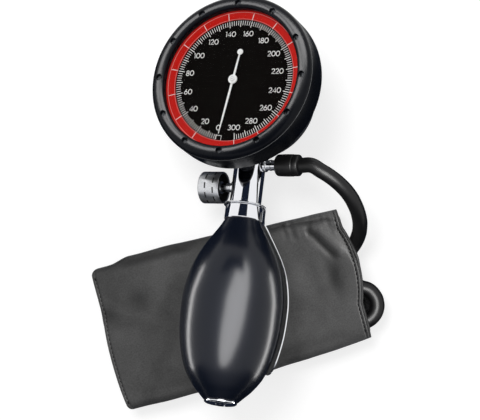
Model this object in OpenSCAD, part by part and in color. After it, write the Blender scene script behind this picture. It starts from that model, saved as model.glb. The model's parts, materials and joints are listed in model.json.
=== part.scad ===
/* [Gauge] */
// Diameter of the dial plate
dial_d = 77.8; // [74:0.2:82]
// Thickness of the dial plate
dial_t = 0.8; // [0.6:0.1:1.2]
// Width of the coloured scale ring
scale_w = 5; // [3:0.2:6]
// Height of the dial face over the axis of the tube
dial_rise = 34; // [32:0.5:36]
// Free height between the dial and the lens
lens_gap = 2.6; // [2.4:0.1:4]
// Thickness of the lens
lens_t = 1.6; // [1:0.1:2.4]
// Thickness of the gasket under the lens
gasket_t = 0.4; // [0.3:0.1:0.8]
// Height of the bezel ring over the lens
bezel_h = 0.9; // [0.6:0.1:1.5]
// Width of the bezel ring
bezel_w = 2.5; // [2:0.1:3.5]
// Wall of the gauge case
case_wall = 1.6; // [1.2:0.1:2]
// Diameter of the rear can of the case
can_d = 64; // [62:1:68]
// Rounding of the can's rear edge
can_round = 5; // [3:0.5:5.5]
// Wall of the ring that carries the dial
carrier_wall = 1.8; // [1.4:0.1:2.4]
// Height of the ring that carries the dial
carrier_h = 8.2; // [7:0.2:9]

/* [Bumper] */
// Thickness of the rubber beside the case
bumper_wall = 3.4; // [2.8:0.1:5]
// Thickness of the rubber over the bezel and under the case step
bumper_lip = 1.9; // [1.6:0.1:3]
// Depth of the lip that hooks under the case
bumper_hook = 4; // [2:0.5:6]
// Number of dimples in the front face
dimple_n = 12; // [6:1:16]
// Diameter of a dimple
dimple_d = 3.4; // [2.4:0.2:4]
// Depth of a dimple
dimple_depth = 1.3; // [0.8:0.1:1.5]

/* [Movement] */
// Module of the gear teeth
gear_m = 0.25; // [0.25:0.01:0.26]
// Teeth on the pinion
pinion_n = 12; // [12:1:12]
// Teeth that a full turn of the sector would have
sector_n = 120; // [120:1:120]
// Thickness of the sector gear
sector_t = 1.2; // [0.8:0.1:1.6]
// Diameter of the arbors
arbor_d = 1.4; // [1.2:0.1:1.6]
// Diameter of the pressure capsule
capsule_d = 36; // [30:1:38]
// Thickness of the pressure capsule
capsule_t = 5; // [4:0.2:5.4]
// Thickness of the movement plates
plate_t = 1.2; // [1:0.1:1.6]
// Distance of the pillars from the centre
pillar_pcr = 23.5; // [22.5:0.5:26]
// Diameter of the pillars
pillar_d = 3.6; // [3:0.2:4.4]
// Turns of the hairspring
hairspring_turns = 5; // [3:1:7]
// Length of the pointer from its hub to its tip
pointer_l = 30.4; // [26:0.2:32]
// Length of the pointer's tail to the middle of its ball
pointer_tail = 15.5; // [12:0.5:18]
// Diameter of the pointer's hub
pointer_hub_d = 5; // [4:0.2:6]

/* [Valve] */
// Diameter of the valve body
body_d = 17; // [15:0.2:17.4]
// Length of the valve body
body_l = 27.1; // [26:0.1:30]
// Distance from the body's top to the axis of the hose barb
barb_drop = 4.5; // [4.5:0.1:5.2]
// Distance from the axis of the hose barb to the axis of the knob
knob_drop = 12.7; // [11.5:0.1:13]
// Diameter of the main air channel
channel_d = 3.6; // [3:0.2:4]
// Diameter of the gauge's stem
stem_d = 10; // [8:0.2:10.4]
// Depth to which the gauge's stem enters the body
stem_in = 8.6; // [7.5:0.1:9]
// Diameter of the release knob
knob_d = 17.4; // [14:0.2:18]
// Length of the release knob
knob_l = 12.2; // [10:0.2:14]
// Gap between the valve body and the knob
knob_gap = 5.2; // [4:0.2:8]
// Diameter of the knob's stem
needle_d = 5; // [4:0.1:5.2]
// Depth of the hollow in the knob
knob_hollow = 4.2; // [2:0.2:6]
// Number of flutes in the knurl of the knob
knurl_n = 60; // [40:2:72]

/* [Hose] */
// Diameter of the barb's neck
barb_d = 5.6; // [5:0.2:6]
// Length of the barb that shows
barb_show = 7.4; // [6:0.2:12]
// Length of the sleeve on the hose end
sleeve_l = 13.8; // [10:0.2:18]
// Largest diameter of the sleeve
sleeve_d = 12; // [10:0.2:12.6]
// Outer diameter of the hose
hose_d = 8.2; // [7:0.2:8.4]

/* [Bulb] */
// Largest diameter of the bulb
bulb_d = 54; // [50:1:58]
// Length of the bulb below the collar
bulb_l = 97.5; // [90:0.5:105]
// Wall of the bulb
bulb_wall = 2.2; // [1.6:0.1:3]
// Diameter of the collar
collar_d = 20.6; // [19:0.2:22]
// Height of the collar
collar_h = 8.8; // [8:0.2:10]
// Diameter of the end valve's flange
end_d = 17.6; // [16:0.2:19]
// Diameter of the check valve balls
ball_d = 4; // [3.6:0.1:4.4]

/* [Spoon] */
// Angle of the spoon behind the right side
spoon_turn = 45; // [40:1:60]
// Width of the spoon
spoon_w = 25; // [18:1:26]
// Width of the spoon's neck
spoon_neck_w = 9; // [7:0.5:10]
// Thickness of the spoon's sheet
spoon_t = 1.2; // [1:0.1:1.6]
// Gap between the spoon and the bulb
spoon_gap = 1.8; // [1:0.1:3]
// Distance of the spoon's tip from the end of the bulb
spoon_short = 18; // [12:1:30]

/* [Cuff] */
// Width of the cuff, which is the long side of the folded pack
cuff_w = 139; // [134:1:145]
// Depth of the folded pack at its left side
pack_left = 80; // [78:1:84]
// Depth of the folded pack at its right side
pack_right = 72.5; // [72:0.5:76]
// Thickness of the folded pack
pack_t = 20.8; // [20.4:0.1:22]
// Thickness of the wrapped cloth
wrap_t = 2.4; // [2:0.1:2.5]
// Thickness of one inner panel
panel_t = 1.3; // [1.1:0.1:1.4]
// Thickness of the flat bladder
bladder_t = 2; // [1.6:0.1:2.2]
// Turn of the pack on the table
pack_turn = 22.5; // [20:0.5:25]

/* [Lay] */
// Fall of the tube from the bulb to the gauge
pitch = 14; // [13.5:0.1:14.5]
// Roll of the gauge to the left
roll = 25; // [22:1:28]

/* [Hidden] */
$fn = 72;

// Clearance of a fixed fit
fit = 0.05;
// Clearance of a running fit
run = 0.06;
// Air between soft pieces
air = 0.3;
// Overshoot of a cut
cut = 1;

// Radii of the case and of what it holds
dial_r = dial_d / 2;
scale_r = dial_r - scale_w;
carrier_in = dial_r + fit;
carrier_out = carrier_in + carrier_wall;
case_in = carrier_out + fit;
case_out = case_in + case_wall;
can_r = can_d / 2;
can_in = can_r - case_wall;
bumper_in = case_out + fit;
bumper_r = bumper_in + bumper_wall;

// Heights of the gauge, over the axis of the tube
can_back = -body_d / 2;
can_floor = can_back + case_wall;
dial_low = dial_rise - dial_t;
step_top = dial_low - carrier_h;
step_low = step_top - case_wall;
lens_low = dial_rise + lens_gap;
lens_top = lens_low + lens_t;
case_top = lens_top + bezel_h;
bezel_in = case_in - fit - bezel_w;
bumper_top = case_top + bumper_lip;
bumper_back = step_low - bumper_lip;
dimple_pcr = (bezel_in + bumper_r) / 2 - 1.1;

// Heights in the movement, which hangs under the dial
boss_top = dial_low - 26;
capsule_low = boss_top + fit / 2;
capsule_top = capsule_low + capsule_t;
stud_low = capsule_top + fit;
stud_top = stud_low + 2;
rocker_z = stud_top + 0.9;
rocker_y = 6;
rocker_r = 0.9;
rocker_left = -12.9;
rocker_right = 2.9;
lug_t = 1.4;
finger_x = -10;
finger_r = 0.6;
base_low = rocker_z + 4.4;
base_top = base_low + plate_t;
sector_low = base_top + 1.2;
finger_top = sector_low + sector_t + 0.5;
top_low = sector_low + sector_t + 2.4;
top_top = top_low + plate_t;
spring_low = top_top + 1.2;
spring_h = 0.7;
arbor_top = dial_rise + 1.7;
pointer_low = dial_rise + 0.8;
pointer_t = 0.4;
gear_centre = gear_m * (pinion_n + sector_n) / 2;
gear_turn = 157.2;
sector_x = gear_centre * cos(gear_turn);
sector_y = gear_centre * sin(gear_turn);
full_turn = 343.5;
zero_turn = 8.25;
arbor_r = arbor_d / 2;

// Places along the tube, as distances below the middle of the gauge
body_top = can_r + air;
barb_at = body_top + barb_drop;
knob_at = barb_at + knob_drop;
body_end = body_top + body_l;
ring_t = 1;
web_t = 1.4;
collar_end = body_end + collar_h;
bulb_end = collar_end + bulb_l;
body_r = body_d / 2;
stem_r = stem_d / 2;
stem_end = body_top + stem_in;
spigot_r = 5;
spigot_end = collar_end - 1;
neck_start = body_end + ring_t + web_t;
neck_out = collar_d / 2 - 0.9;
channel_r = channel_d / 2;
needle_r = needle_d / 2;
needle_seat = 1.5;
bush_r = needle_r + 1;
bush_l = 5;
vent_r = 1.1;
knob_in_at = body_r + knob_gap;
knob_r = knob_d / 2;
barb_r = barb_d / 2;
barb_start = stem_r + 2 * fit;
barb_end = body_r + barb_show;
sleeve_end = barb_end + sleeve_l;
hose_r = hose_d / 2;
ball_r = ball_d / 2;
ball_play = 1.2;
ball_bore = ball_r + 0.4;
seat_l = 4;
outlet_ball_at = spigot_end - seat_l - 0.62 * ball_r - fit;
outlet_stop = outlet_ball_at - ball_r - ball_play - fit;
end_r = end_d / 2;
end_flange = 1.8;
end_neck_r = 6;
end_neck_l = 9;
end_step = 2;
end_floor = 2.4;
cap_r = ball_bore + 1.2;
intake_ball_at = bulb_end - end_step - 0.75 * ball_r - fit;
intake_stop = intake_ball_at - ball_r - ball_play - fit;

// Outline of the bulb, as radius and distance below the collar, in parts of its size
bulb_shape = [[0.36, 0], [0.44, 0.048], [0.6, 0.123], [0.763, 0.21], [0.9, 0.308],
              [0.985, 0.42], [1, 0.523], [0.97, 0.636], [0.881, 0.749], [0.726, 0.851],
              [0.537, 0.923], [0.389, 0.969], [0.315, 1]];
function mix(p, q, s) = p + (q - p) * s;
function smooth_point(p, i, s) =
    let (n = len(p) - 1, a = p[max(i - 1, 0)], b = p[i], c = p[min(i + 1, n)], d = p[min(i + 2, n)])
    (b * 2 + (c - a) * s + (a * 2 - b * 5 + c * 4 - d) * s * s
     + (b * 3 - a - c * 3 + d) * s * s * s) / 2;
function smooth_line(p, k) =
    [for (i = [0 : len(p) - 2]) for (j = [0 : k - 1]) smooth_point(p, i, j / k), p[len(p) - 1]];
bulb_line = [for (p = smooth_line(bulb_shape, 3)) [p[0] * bulb_d / 2, collar_end + p[1] * bulb_l]];

// Lay of the gauge and bulb on the table, from where the bulb rests on the cuff
bulb_low = min([for (p = bulb_line) p[1] * sin(pitch) - p[0] * cos(pitch)]);
lay_x = 0.7;
lay_y = 62.35;
lay_z = pack_t + air - bulb_low;
pack_x = 0.7;
pack_y = -51.65;

// Heights in the folded pack
pocket_low = wrap_t + 0.1;
strip_t = 0.8;
fold_low = pocket_low + 2 * strip_t + 0.15;
bladder_low = fold_low + panel_t + fit;
fold_top = bladder_low + bladder_t + fit + panel_t;
hose_z = fold_top + hose_r + air;
fold_half = pack_right / 2 - wrap_t - 4.85;
fold_l = cuff_w - 11;
bladder_half = fold_half - 3.8;
bladder_l = cuff_w - 17;
loop_half = fold_half - 5;
loop_l = cuff_w - 21;
hook_half = fold_half - 7;
hook_l = cuff_w - 29;

// A point of the gauge's frame in the frame of the table
function rolled(p) = [p[0] * cos(roll) - p[2] * sin(roll), p[1], p[0] * sin(roll) + p[2] * cos(roll)];
function pitched(p) = [p[0], p[1] * cos(pitch) + p[2] * sin(pitch),
                       p[2] * cos(pitch) - p[1] * sin(pitch)];
function on_table(p) = pitched(rolled(p)) + [lay_x, lay_y, lay_z];
// A point of the pack's frame in the frame of the table
function in_pack(u, v, z) = [pack_x + u * cos(pack_turn) - v * sin(pack_turn),
                             pack_y + u * sin(pack_turn) + v * cos(pack_turn), z];

// Bladder port, and the route of the hose from the sleeve to that port
port_u = -2;
port_v = 13;
port_l = 9;
port_face = in_pack(port_u - port_l, port_v, hose_z);
port_before = in_pack(port_u - port_l - 7, port_v, hose_z);
hose_exit = on_table([sleeve_end, -barb_at, 0]);
hose_lead = on_table([sleeve_end + 6, -barb_at, 0]);
hose_points = [[38.3, 28.1, 45.6], [43.7, 25.6, 45.4], [49.3, 22.2, 44.2], [54.8, 17.7, 41.5],
               [59.3, 12.2, 37.4], [62.5, 6.4, 32], [64.1, 1.2, 25.6], [64.3, -3.9, 18.8],
               [63.2, -8.4, 14.6], [61.5, -12, 13.4], [60.3, -17.7, 13.4], [61.4, -23.4, 13.4],
               [64.4, -28.3, 13.4], [69.1, -31.7, 13.4], [73.9, -32.7, 13.4], [77.3, -35.2, 13.4],
               [79.4, -38.8, 13.4], [79.8, -43, 13.4], [78.3, -46.9, 13.4], [75.7, -49.6, 13.4],
               [71.4, -51.7, 13.4], [64.9, -55.1, 13.4], [56.4, -58.7, 13.4], [32, -65, 13.4],
               [16, -69.5, 13.4], [0, -74.5, 13.4], [-16, -80, 13.4], [-28, -84, 13.4],
               [-38, -85, 13.4], [-46, -81, 13.4], [-50.5, -73.5, 13.4], [-50.5, -64.5, 13.4],
               [-45.5, -57.5, 13.4], [-38, -53.5, 13.4], [-29, -50, 13.4]];
hose_route = concat([hose_exit, hose_lead], hose_points, [port_before, port_face]);
hose_sides = 10;

// Points on an arc
function arc(c, r, from, to, n = 6) =
    [for (i = [0 : n]) let (a = from + (to - from) * i / n) c + r * [cos(a), sin(a)]];

module lay() translate([lay_x, lay_y, lay_z]) rotate([-pitch, 0, 0]) rotate([0, -roll, 0]) children();
// In the tube's frame, x is the right side, y the front and z runs from the gauge to the bulb
module tube() lay() rotate([90, 0, 0]) children();
module port(at) tube() translate([0, 0, at]) rotate([0, 90, 0]) children();
module rod(r, from, to) translate([0, 0, from]) cylinder(h = to - from, r = r);
module ring(r_in, r_out, from, to) {
    difference() {
        rod(r_out, from, to);
        rod(r_in, from - cut, to + cut);
    }
}
module around(n, start = 0) for (i = [0 : n - 1]) rotate(start + i * 360 / n) children();

module gauge_case() {
    wall = concat(
        [[0, can_back]],
        arc([can_r - can_round, can_back + can_round], can_round, -90, 0),
        [[can_r, step_low], [case_out, step_low], [case_out, case_top], [case_in, case_top],
         [case_in, step_top], [can_in, step_top]],
        arc([can_in - can_round + case_wall, can_floor + can_round - case_wall],
            can_round - case_wall, 0, -90),
        [[0, can_floor]]);
    color("dimgray") lay() difference() {
        rotate_extrude() polygon(wall);
        rotate([90, 0, 0]) rod(stem_r + fit, can_in - 4, can_r + cut);
    }
}

module bumper() {
    bead = 3.1;
    heel = 2.4;
    seam_z = bumper_top - bead - 0.9;
    seam = 0.5;
    side = concat(
        [[bezel_in, case_top], [bezel_in, bumper_top - 1.2]],
        arc([bezel_in + 1.1, bumper_top - 1.1], 1.1, 180, 100, 4),
        [[dimple_pcr, bumper_top]],
        arc([bumper_r - bead - 0.2, bumper_top - bead - 0.3], bead, 78, 0, 7),
        [[bumper_r - 0.2, seam_z + seam], [bumper_r - 0.2 - seam, seam_z + 0.2],
         [bumper_r - 0.2 - seam, seam_z - 0.2], [bumper_r - 0.1, seam_z - seam]],
        arc([bumper_r - heel, bumper_back + heel], heel, 0, -90, 5),
        [[case_out - bumper_hook + 0.5, bumper_back], [case_out - bumper_hook, bumper_back + 0.5],
         [case_out - bumper_hook, step_low], [bumper_in, step_low], [bumper_in, case_top]]);
    color("#1b1e22") lay() difference() {
        rotate_extrude() polygon(side);
        around(dimple_n, 90) translate([dimple_pcr, 0, 0]) {
            rod(dimple_d / 2, bumper_top - dimple_depth, bumper_top + cut);
            translate([0, 0, bumper_top - dimple_depth / 3])
                cylinder(h = dimple_depth, r1 = dimple_d / 2, r2 = dimple_d);
        }
    }
}

module dial_carrier() {
    shelf = dial_low - 1.4;
    color("gainsboro") lay() rotate_extrude() polygon([
        [can_in + 1, step_top], [can_in + 2.4, step_top], [can_in + 2.4, shelf],
        [carrier_out - 1.4, shelf], [carrier_out - 1.4, step_top], [carrier_out, step_top],
        [carrier_out, lens_low - gasket_t], [carrier_in, lens_low - gasket_t],
        [carrier_in, dial_low], [can_in + 1, dial_low]]);
}

module dial_plate() color("#101012") lay() ring(arbor_r + 0.9, dial_r, dial_low, dial_rise);

module scale_ring() {
    rim_h = 1.4;
    color("#d32218") lay() rotate_extrude() polygon([
        [scale_r, dial_rise], [dial_r, dial_rise], [dial_r, dial_rise + rim_h],
        [dial_r - 0.6, dial_rise + rim_h], [scale_r + 0.3, dial_rise + 0.4],
        [scale_r, dial_rise + 0.15]]);
}

module lens_gasket() {
    color("black") lay() ring(carrier_in + 0.3, carrier_out, lens_low - gasket_t, lens_low);
}

module lens() color("lightcyan", 0.3) lay() rod(carrier_out, lens_low, lens_top);

module bezel() {
    outer = case_in - fit;
    color("#202226") lay() rotate_extrude() polygon([
        [bezel_in + 0.4, lens_top], [outer, lens_top], [outer, case_top],
        [bezel_in, case_top], [bezel_in, lens_top + bezel_h / 2]]);
}

module pointer() {
    low = pointer_low;
    top = low + pointer_t;
    aim = -90 - zero_turn;
    color("white") lay() rotate(aim) difference() {
        union() {
            rod(pointer_hub_d / 2, low, top + 0.3);
            rod(pointer_hub_d / 4, low, top + 0.9);
            translate([0, 0, low]) linear_extrude(pointer_t) polygon([
                [-pointer_tail, 0.35], [0, 0.6], [pointer_l - 8, 0.42], [pointer_l, 0.12],
                [pointer_l, -0.12], [pointer_l - 8, -0.42], [0, -0.6], [-pointer_tail, -0.35]]);
            translate([-pointer_tail, 0, 0]) rod(1.6, low, top);
        }
        rod(arbor_r, low - cut, arbor_top);
    }
}

// Outline of a gear, or of a sector of one, with straight-sided teeth
function tooth(a, r, m, n, way = 1) =
    let (root = r - 1.1 * m, tip = r + 0.75 * m, w0 = 104 / n, w1 = 44 / n)
    [for (q = [[root, -w0], [tip, -w1], [tip, w1], [root, w0]])
        q[0] * [cos(a + way * q[1]), sin(a + way * q[1])]];
function teeth(r, m, n, first, count) = [for (i = [0 : count - 1]) each tooth(first + i * 360 / n, r, m, n)];

module pinion_arbor() {
    pitch_r = gear_m * pinion_n / 2;
    color("gold") lay() {
        rod(arbor_r, base_low + 0.1, arbor_top);
        translate([0, 0, sector_low - 0.4]) linear_extrude(sector_t + 0.8)
            polygon(teeth(pitch_r, gear_m, pinion_n, gear_turn, pinion_n));
        rod(arbor_r + 0.7, spring_low - 0.2, spring_low + spring_h + 0.2);
    }
}

module hairspring() {
    inner = arbor_r + 0.95;
    step = 1.2;
    strip = 0.28;
    outer = inner + hairspring_turns * step;
    side = [for (i = [0 : 18 * hairspring_turns]) let (a = i * 20) [inner + step * a / 360, a]];
    color("lightsteelblue") lay() {
        translate([0, 0, spring_low]) linear_extrude(spring_h) polygon(concat(
            [for (p = side) p[0] * [cos(p[1]), sin(p[1])]],
            [for (i = [len(side) - 1 : -1 : 0])
                (side[i][0] + strip) * [cos(side[i][1]), sin(side[i][1])]]));
        translate([outer + 0.5, 0, 0]) rod(0.8, top_top, spring_low + spring_h + 0.3);
    }
}

module sector_gear() {
    pitch_r = gear_m * sector_n / 2;
    tooth_turn = 360 / sector_n;
    count = 16;
    first = gear_turn + 180 + 1.5 * tooth_turn;
    last = first - (count - 1) * tooth_turn;
    rim = 2.4;
    arm_w = 1.5;
    tail_l = 6.6;
    tail_w = 1.6;
    tail_turn = 13;
    hub_r = 2.2;
    hub_over = 0.6;
    inner = [for (i = [0 : count - 1]) let (a = mix(last, first, i / (count - 1)))
        (pitch_r - rim) * [cos(a), sin(a)]];
    outer = [for (i = [0 : count - 1]) each tooth(first - i * tooth_turn, pitch_r, gear_m, sector_n, -1)];
    color("gold") lay() translate([sector_x, sector_y, 0]) {
        translate([0, 0, sector_low]) linear_extrude(sector_t) {
            polygon(concat(inner, outer));
            for (a = [first - 4, last + 4])
                rotate(a) translate([0, -arm_w / 2]) square([pitch_r - rim / 2, arm_w]);
            rotate(tail_turn) translate([0, -tail_w / 2]) square([tail_l, tail_w]);
        }
        rod(hub_r, sector_low - hub_over, sector_low + sector_t + hub_over);
        rod(arbor_r, base_low + 0.1, top_top - 0.1);
    }
}

module rocker() {
    arm_w = 2;
    arm_t = 1.2;
    arm_over = 1.2;
    color("goldenrod") lay() {
        translate([0, rocker_y, rocker_z]) rotate([0, 90, 0]) rod(rocker_r, rocker_left, rocker_right);
        translate([-arm_w / 2, -arm_over, stud_top + 0.1]) cube([arm_w, rocker_y + arm_over, arm_t]);
        translate([finger_x, rocker_y, 0]) rod(finger_r, rocker_z, finger_top);
    }
}

module base_plate() {
    lug_w = 3;
    slot_w = 2.8;
    slot_l = 8;
    color("khaki") lay() difference() {
        union() {
            rod(pillar_pcr + pillar_d / 2 + 0.6, base_low, base_top);
            for (x = [rocker_left + 0.1, rocker_right - 0.1 - lug_t])
                translate([x, rocker_y - lug_w / 2, rocker_z - lug_w / 2])
                    cube([lug_t, lug_w, base_low - rocker_z + lug_w / 2]);
        }
        rod(arbor_r + run, base_low - cut, base_top + cut);
        translate([sector_x, sector_y, 0]) rod(arbor_r + run, base_low - cut, base_top + cut);
        translate([0, rocker_y, rocker_z]) rotate([0, 90, 0])
            rod(rocker_r + run, rocker_left - cut, rocker_right + cut);
        translate([finger_x - slot_w / 2, rocker_y - 1.6, base_low - cut])
            cube([slot_w, slot_l, plate_t + 2 * cut]);
        around(4, 45) translate([pillar_pcr, 0, 0]) rod(1, base_low - cut, base_top + cut);
    }
}

module top_plate() {
    color("khaki") lay() difference() {
        union() {
            for (a = [45, 135]) rotate(a) translate([-pillar_pcr, -3, top_low]) cube([2 * pillar_pcr, 6, plate_t]);
            around(4, 45) translate([pillar_pcr, 0, 0]) rod(3, top_low, top_top);
            rod(9.5, top_low, top_top);
            translate([sector_x, sector_y, 0]) rod(4, top_low, top_top);
        }
        rod(arbor_r + run, top_low - cut, top_top + cut);
        translate([sector_x, sector_y, 0]) rod(arbor_r + run, top_low - cut, top_top + cut);
        around(4, 45) translate([pillar_pcr, 0, 0]) rod(1, top_low - cut, top_top + cut);
    }
}

module pillars() {
    color("goldenrod") lay() around(4, 45) translate([pillar_pcr, 0, 0]) difference() {
        union() {
            rod(pillar_d / 2, can_floor, base_low);
            rod(1 - fit, base_low, base_top);
            rod(pillar_d / 2, base_top, top_low);
        }
        rod(0.8, top_low - 3, top_low + cut);
    }
}

module movement_screws() {
    color("silver") lay() around(4, 45) translate([pillar_pcr, 0, 0]) difference() {
        union() {
            rod(0.8 - fit, top_low - 2.8, top_top);
            rod(1.7, top_top, top_top + 1);
        }
        translate([-2, -0.2, top_top + 0.6]) cube([4, 0.4, 1]);
    }
}

module capsule() {
    r = capsule_d / 2;
    wall = 0.35;
    waves = 4;
    function upper(x) = capsule_t / 2 - 0.7 + 0.45 * cos(360 * waves * x / r) - 0.9 * pow(x / r, 6);
    half = [for (i = [8 : 40]) let (x = r * i / 40) [x, upper(x)]];
    function shell(d) = concat([[0, capsule_t / 2 - d]], [[3.4, capsule_t / 2 - d]],
        [for (p = half) [p[0] - d * (p[0] / r), max(p[1] - d, 0.05)]]);
    function mirrored(pts) = [for (i = [len(pts) - 1 : -1 : 0]) [pts[i][0], -pts[i][1]]];
    outer = shell(0);
    color("tan") lay() translate([0, 0, capsule_low + capsule_t / 2]) rotate_extrude() difference() {
        polygon(concat(outer, mirrored(outer)));
        polygon(concat(shell(wall), mirrored(shell(wall))));
    }
}

module capsule_stud() {
    foot_t = 0.5;
    tip_h = 0.8;
    r = 1.4;
    color("goldenrod") lay() {
        rod(r + 1, stud_low, stud_low + foot_t);
        rod(r, stud_low + foot_t, stud_top - tip_h);
        translate([0, 0, stud_top - tip_h]) cylinder(h = tip_h, r1 = r, r2 = 0.4);
    }
}

module stem_socket() {
    bore = 1.2;
    seat_r = 3;
    foot_r = 6.5;
    collar_r = 4.6;
    pipe_r = 3.5;
    color("silver") lay() difference() {
        union() {
            rod(foot_r, can_floor, boss_top - 1);
            rod(seat_r, boss_top - 1, boss_top);
            rotate([90, 0, 0]) {
                rod(pipe_r, 0, can_in);
                rod(collar_r, can_in - 6, can_in - 0.6);
                rod(stem_r, can_in - 0.6, body_top + 1.6);
                rod(stem_r - 1, body_top + 1.6, body_top + 3);
                rod(stem_r, body_top + 3, stem_end);
            }
        }
        rotate([90, 0, 0]) rod(bore, 0, stem_end + cut);
        rod(bore, -bore, boss_top + cut);
        translate([0, -barb_at, 0]) rotate([0, 90, 0]) rod(bore, 0, stem_r + cut);
    }
}

module stem_ring() {
    color("black") tube() ring(stem_r - 1 + fit, stem_r + 0.02, body_top + 1.65, body_top + 2.95);
}

module valve_body() {
    edge = 0.6;
    color("gainsboro") difference() {
        tube() difference() {
            union() {
                rotate_extrude() polygon([
                    [0, body_top], [body_r - edge, body_top], [body_r, body_top + edge],
                    [body_r, body_end - edge], [body_r - edge, body_end], [0, body_end]]);
                rod(spigot_r, body_end - edge, spigot_end);
            }
            rod(stem_r + fit, body_top - cut, stem_end + 0.4);
            rod(channel_r, stem_end, spigot_end + cut);
            rod(ball_bore, outlet_stop, spigot_end + cut);
        }
        port(barb_at) rod(barb_r - fit - 0.2, 0, body_r + cut);
        port(knob_at) {
            rod(vent_r, -channel_r - 2, 0);
            rod(bush_r + fit, -body_r - cut, -body_r + bush_l);
            rod(needle_r - 0.6, -body_r + bush_l - cut, -channel_r - needle_seat + 0.6);
        }
    }
}

module needle_bush() {
    color("gold") port(knob_at) ring(needle_r + run, bush_r, -body_r, -body_r + bush_l);
}

module release_needle() {
    tip = -channel_r - needle_seat;
    shank = needle_r - 0.8;
    color("silver") port(knob_at) {
        rod(needle_r, -knob_in_at - knob_hollow, -body_r + bush_l - 0.6);
        rod(shank, -body_r + bush_l - 0.6, tip);
        translate([0, 0, tip]) cylinder(h = 0.5, r1 = shank, r2 = vent_r - 0.3);
    }
}

module release_knob() {
    hub_r = needle_r + 0.9;
    rim = 1.1;
    chamfer = 0.9;
    depth = 0.35;
    valley_r = knob_r - depth - 0.05;
    lip = 0.6;
    row_w = 0.55;
    row_depth = 0.45;
    rows = [4.1, 8.2];
    dashes = 10;
    dash = 17;
    out_at = knob_in_at + knob_l;
    flutes = [for (i = [0 : 2 * knurl_n - 1])
        let (a = i * 180 / knurl_n, r = knob_r - (i % 2) * depth) r * [cos(a), sin(a)]];
    color("silver") port(knob_at) difference() {
        union() {
            translate([0, 0, chamfer - out_at]) linear_extrude(knob_l - chamfer - lip) polygon(flutes);
            translate([0, 0, -out_at]) cylinder(h = chamfer, r1 = valley_r - chamfer, r2 = valley_r);
            rod(valley_r, -knob_in_at - lip, -knob_in_at);
        }
        ring(hub_r, knob_r - rim, -knob_in_at - knob_hollow, -knob_in_at + cut);
        rod(hub_r + cut / 2, -knob_in_at - knob_hollow / 3, -knob_in_at + cut);
        rod(needle_r + run, -knob_in_at - knob_hollow, -knob_in_at + cut);
        for (row = rows) around(dashes, row * 4)
            translate([0, 0, row - out_at]) rotate_extrude(angle = dash)
                translate([valley_r - row_depth, 0]) square([2, row_w]);
    }
}

module hose_barb() {
    bore = 1.2;
    color("gainsboro") port(barb_at) rotate_extrude() polygon(concat(
        [[bore, barb_start], [barb_r - fit - 0.3, barb_start],
         [barb_r - fit - 0.3, body_r + 0.05], [barb_r + 0.9, body_r + 0.05],
         [barb_r + 0.9, body_r + 1.2], [barb_r, body_r + 1.6], [barb_r, barb_end]],
        [for (i = [0 : 3]) each let (x = barb_end + i * 2.4)
            [[barb_r - 0.55, x + 0.1], [barb_r - 0.05, x + 1.9], [barb_r - 0.55, x + 2.1]]],
        [[bore, barb_end + 4 * 2.4]]));
}

module hose_sleeve() {
    r = sleeve_d / 2;
    inner = barb_r + fit;
    deep = barb_end + 4 * 2.4 + 0.3;
    color("#202020") port(barb_at) rotate_extrude() polygon(concat(
        [[inner, barb_end], [r - 1.6, barb_end]],
        arc([r - 1.8, barb_end + 1.8], 1.4, -80, -5, 4),
        [[r - 0.15, barb_end + 3.4], [r, barb_end + 5], [r - 0.35, barb_end + 5.6],
         [r - 0.05, barb_end + 6.4], [r, barb_end + 9.6]],
        arc([r - 1.6, sleeve_end - 2.2], 1.6, 20, 75, 4),
        [[hose_r, sleeve_end], [1.6, sleeve_end], [1.6, deep], [inner, deep]]));
}

// Rings of a tube along a route, each square to the route
function unit(v) = v / norm(v);
function heading(p, i) = let (n = len(p) - 1)
    i == 0 ? unit(p[1] - p[0]) : i == n ? unit(p[n] - p[n - 1])
    : unit(unit(p[i] - p[i - 1]) + unit(p[i + 1] - p[i]));
function tube_ring(p, i, r, n) =
    let (t = heading(p, i), s = unit(cross([0, 0, 1], t)), u = cross(t, s))
    [for (k = [0 : n - 1]) let (a = 360 * k / n) p[i] + r * (s * cos(a) + u * sin(a))];

module swept(p, r, n) {
    m = len(p);
    polyhedron(
        points = [for (i = [0 : m - 1]) each tube_ring(p, i, r, n)],
        faces = concat(
            [[for (k = [0 : n - 1]) k]],
            [[for (k = [n - 1 : -1 : 0]) (m - 1) * n + k]],
            [for (i = [0 : m - 2]) for (k = [0 : n - 1]) let (q = (k + 1) % n)
                each [[i * n + k, (i + 1) * n + k, (i + 1) * n + q],
                      [i * n + k, (i + 1) * n + q, i * n + q]]]));
}

module hose() color("#262626") swept(hose_route, hose_r, hose_sides);

module outlet_seat() {
    low = spigot_end - seat_l;
    color("gold") tube() difference() {
        ring(1.2, ball_bore - fit, low, spigot_end);
        translate([0, 0, low - 0.6]) cylinder(h = 1.6, r1 = ball_r + 0.2, r2 = 0.6);
    }
}

module outlet_ball() color("#303030") tube() translate([0, 0, outlet_ball_at]) sphere(r = ball_r);

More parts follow.
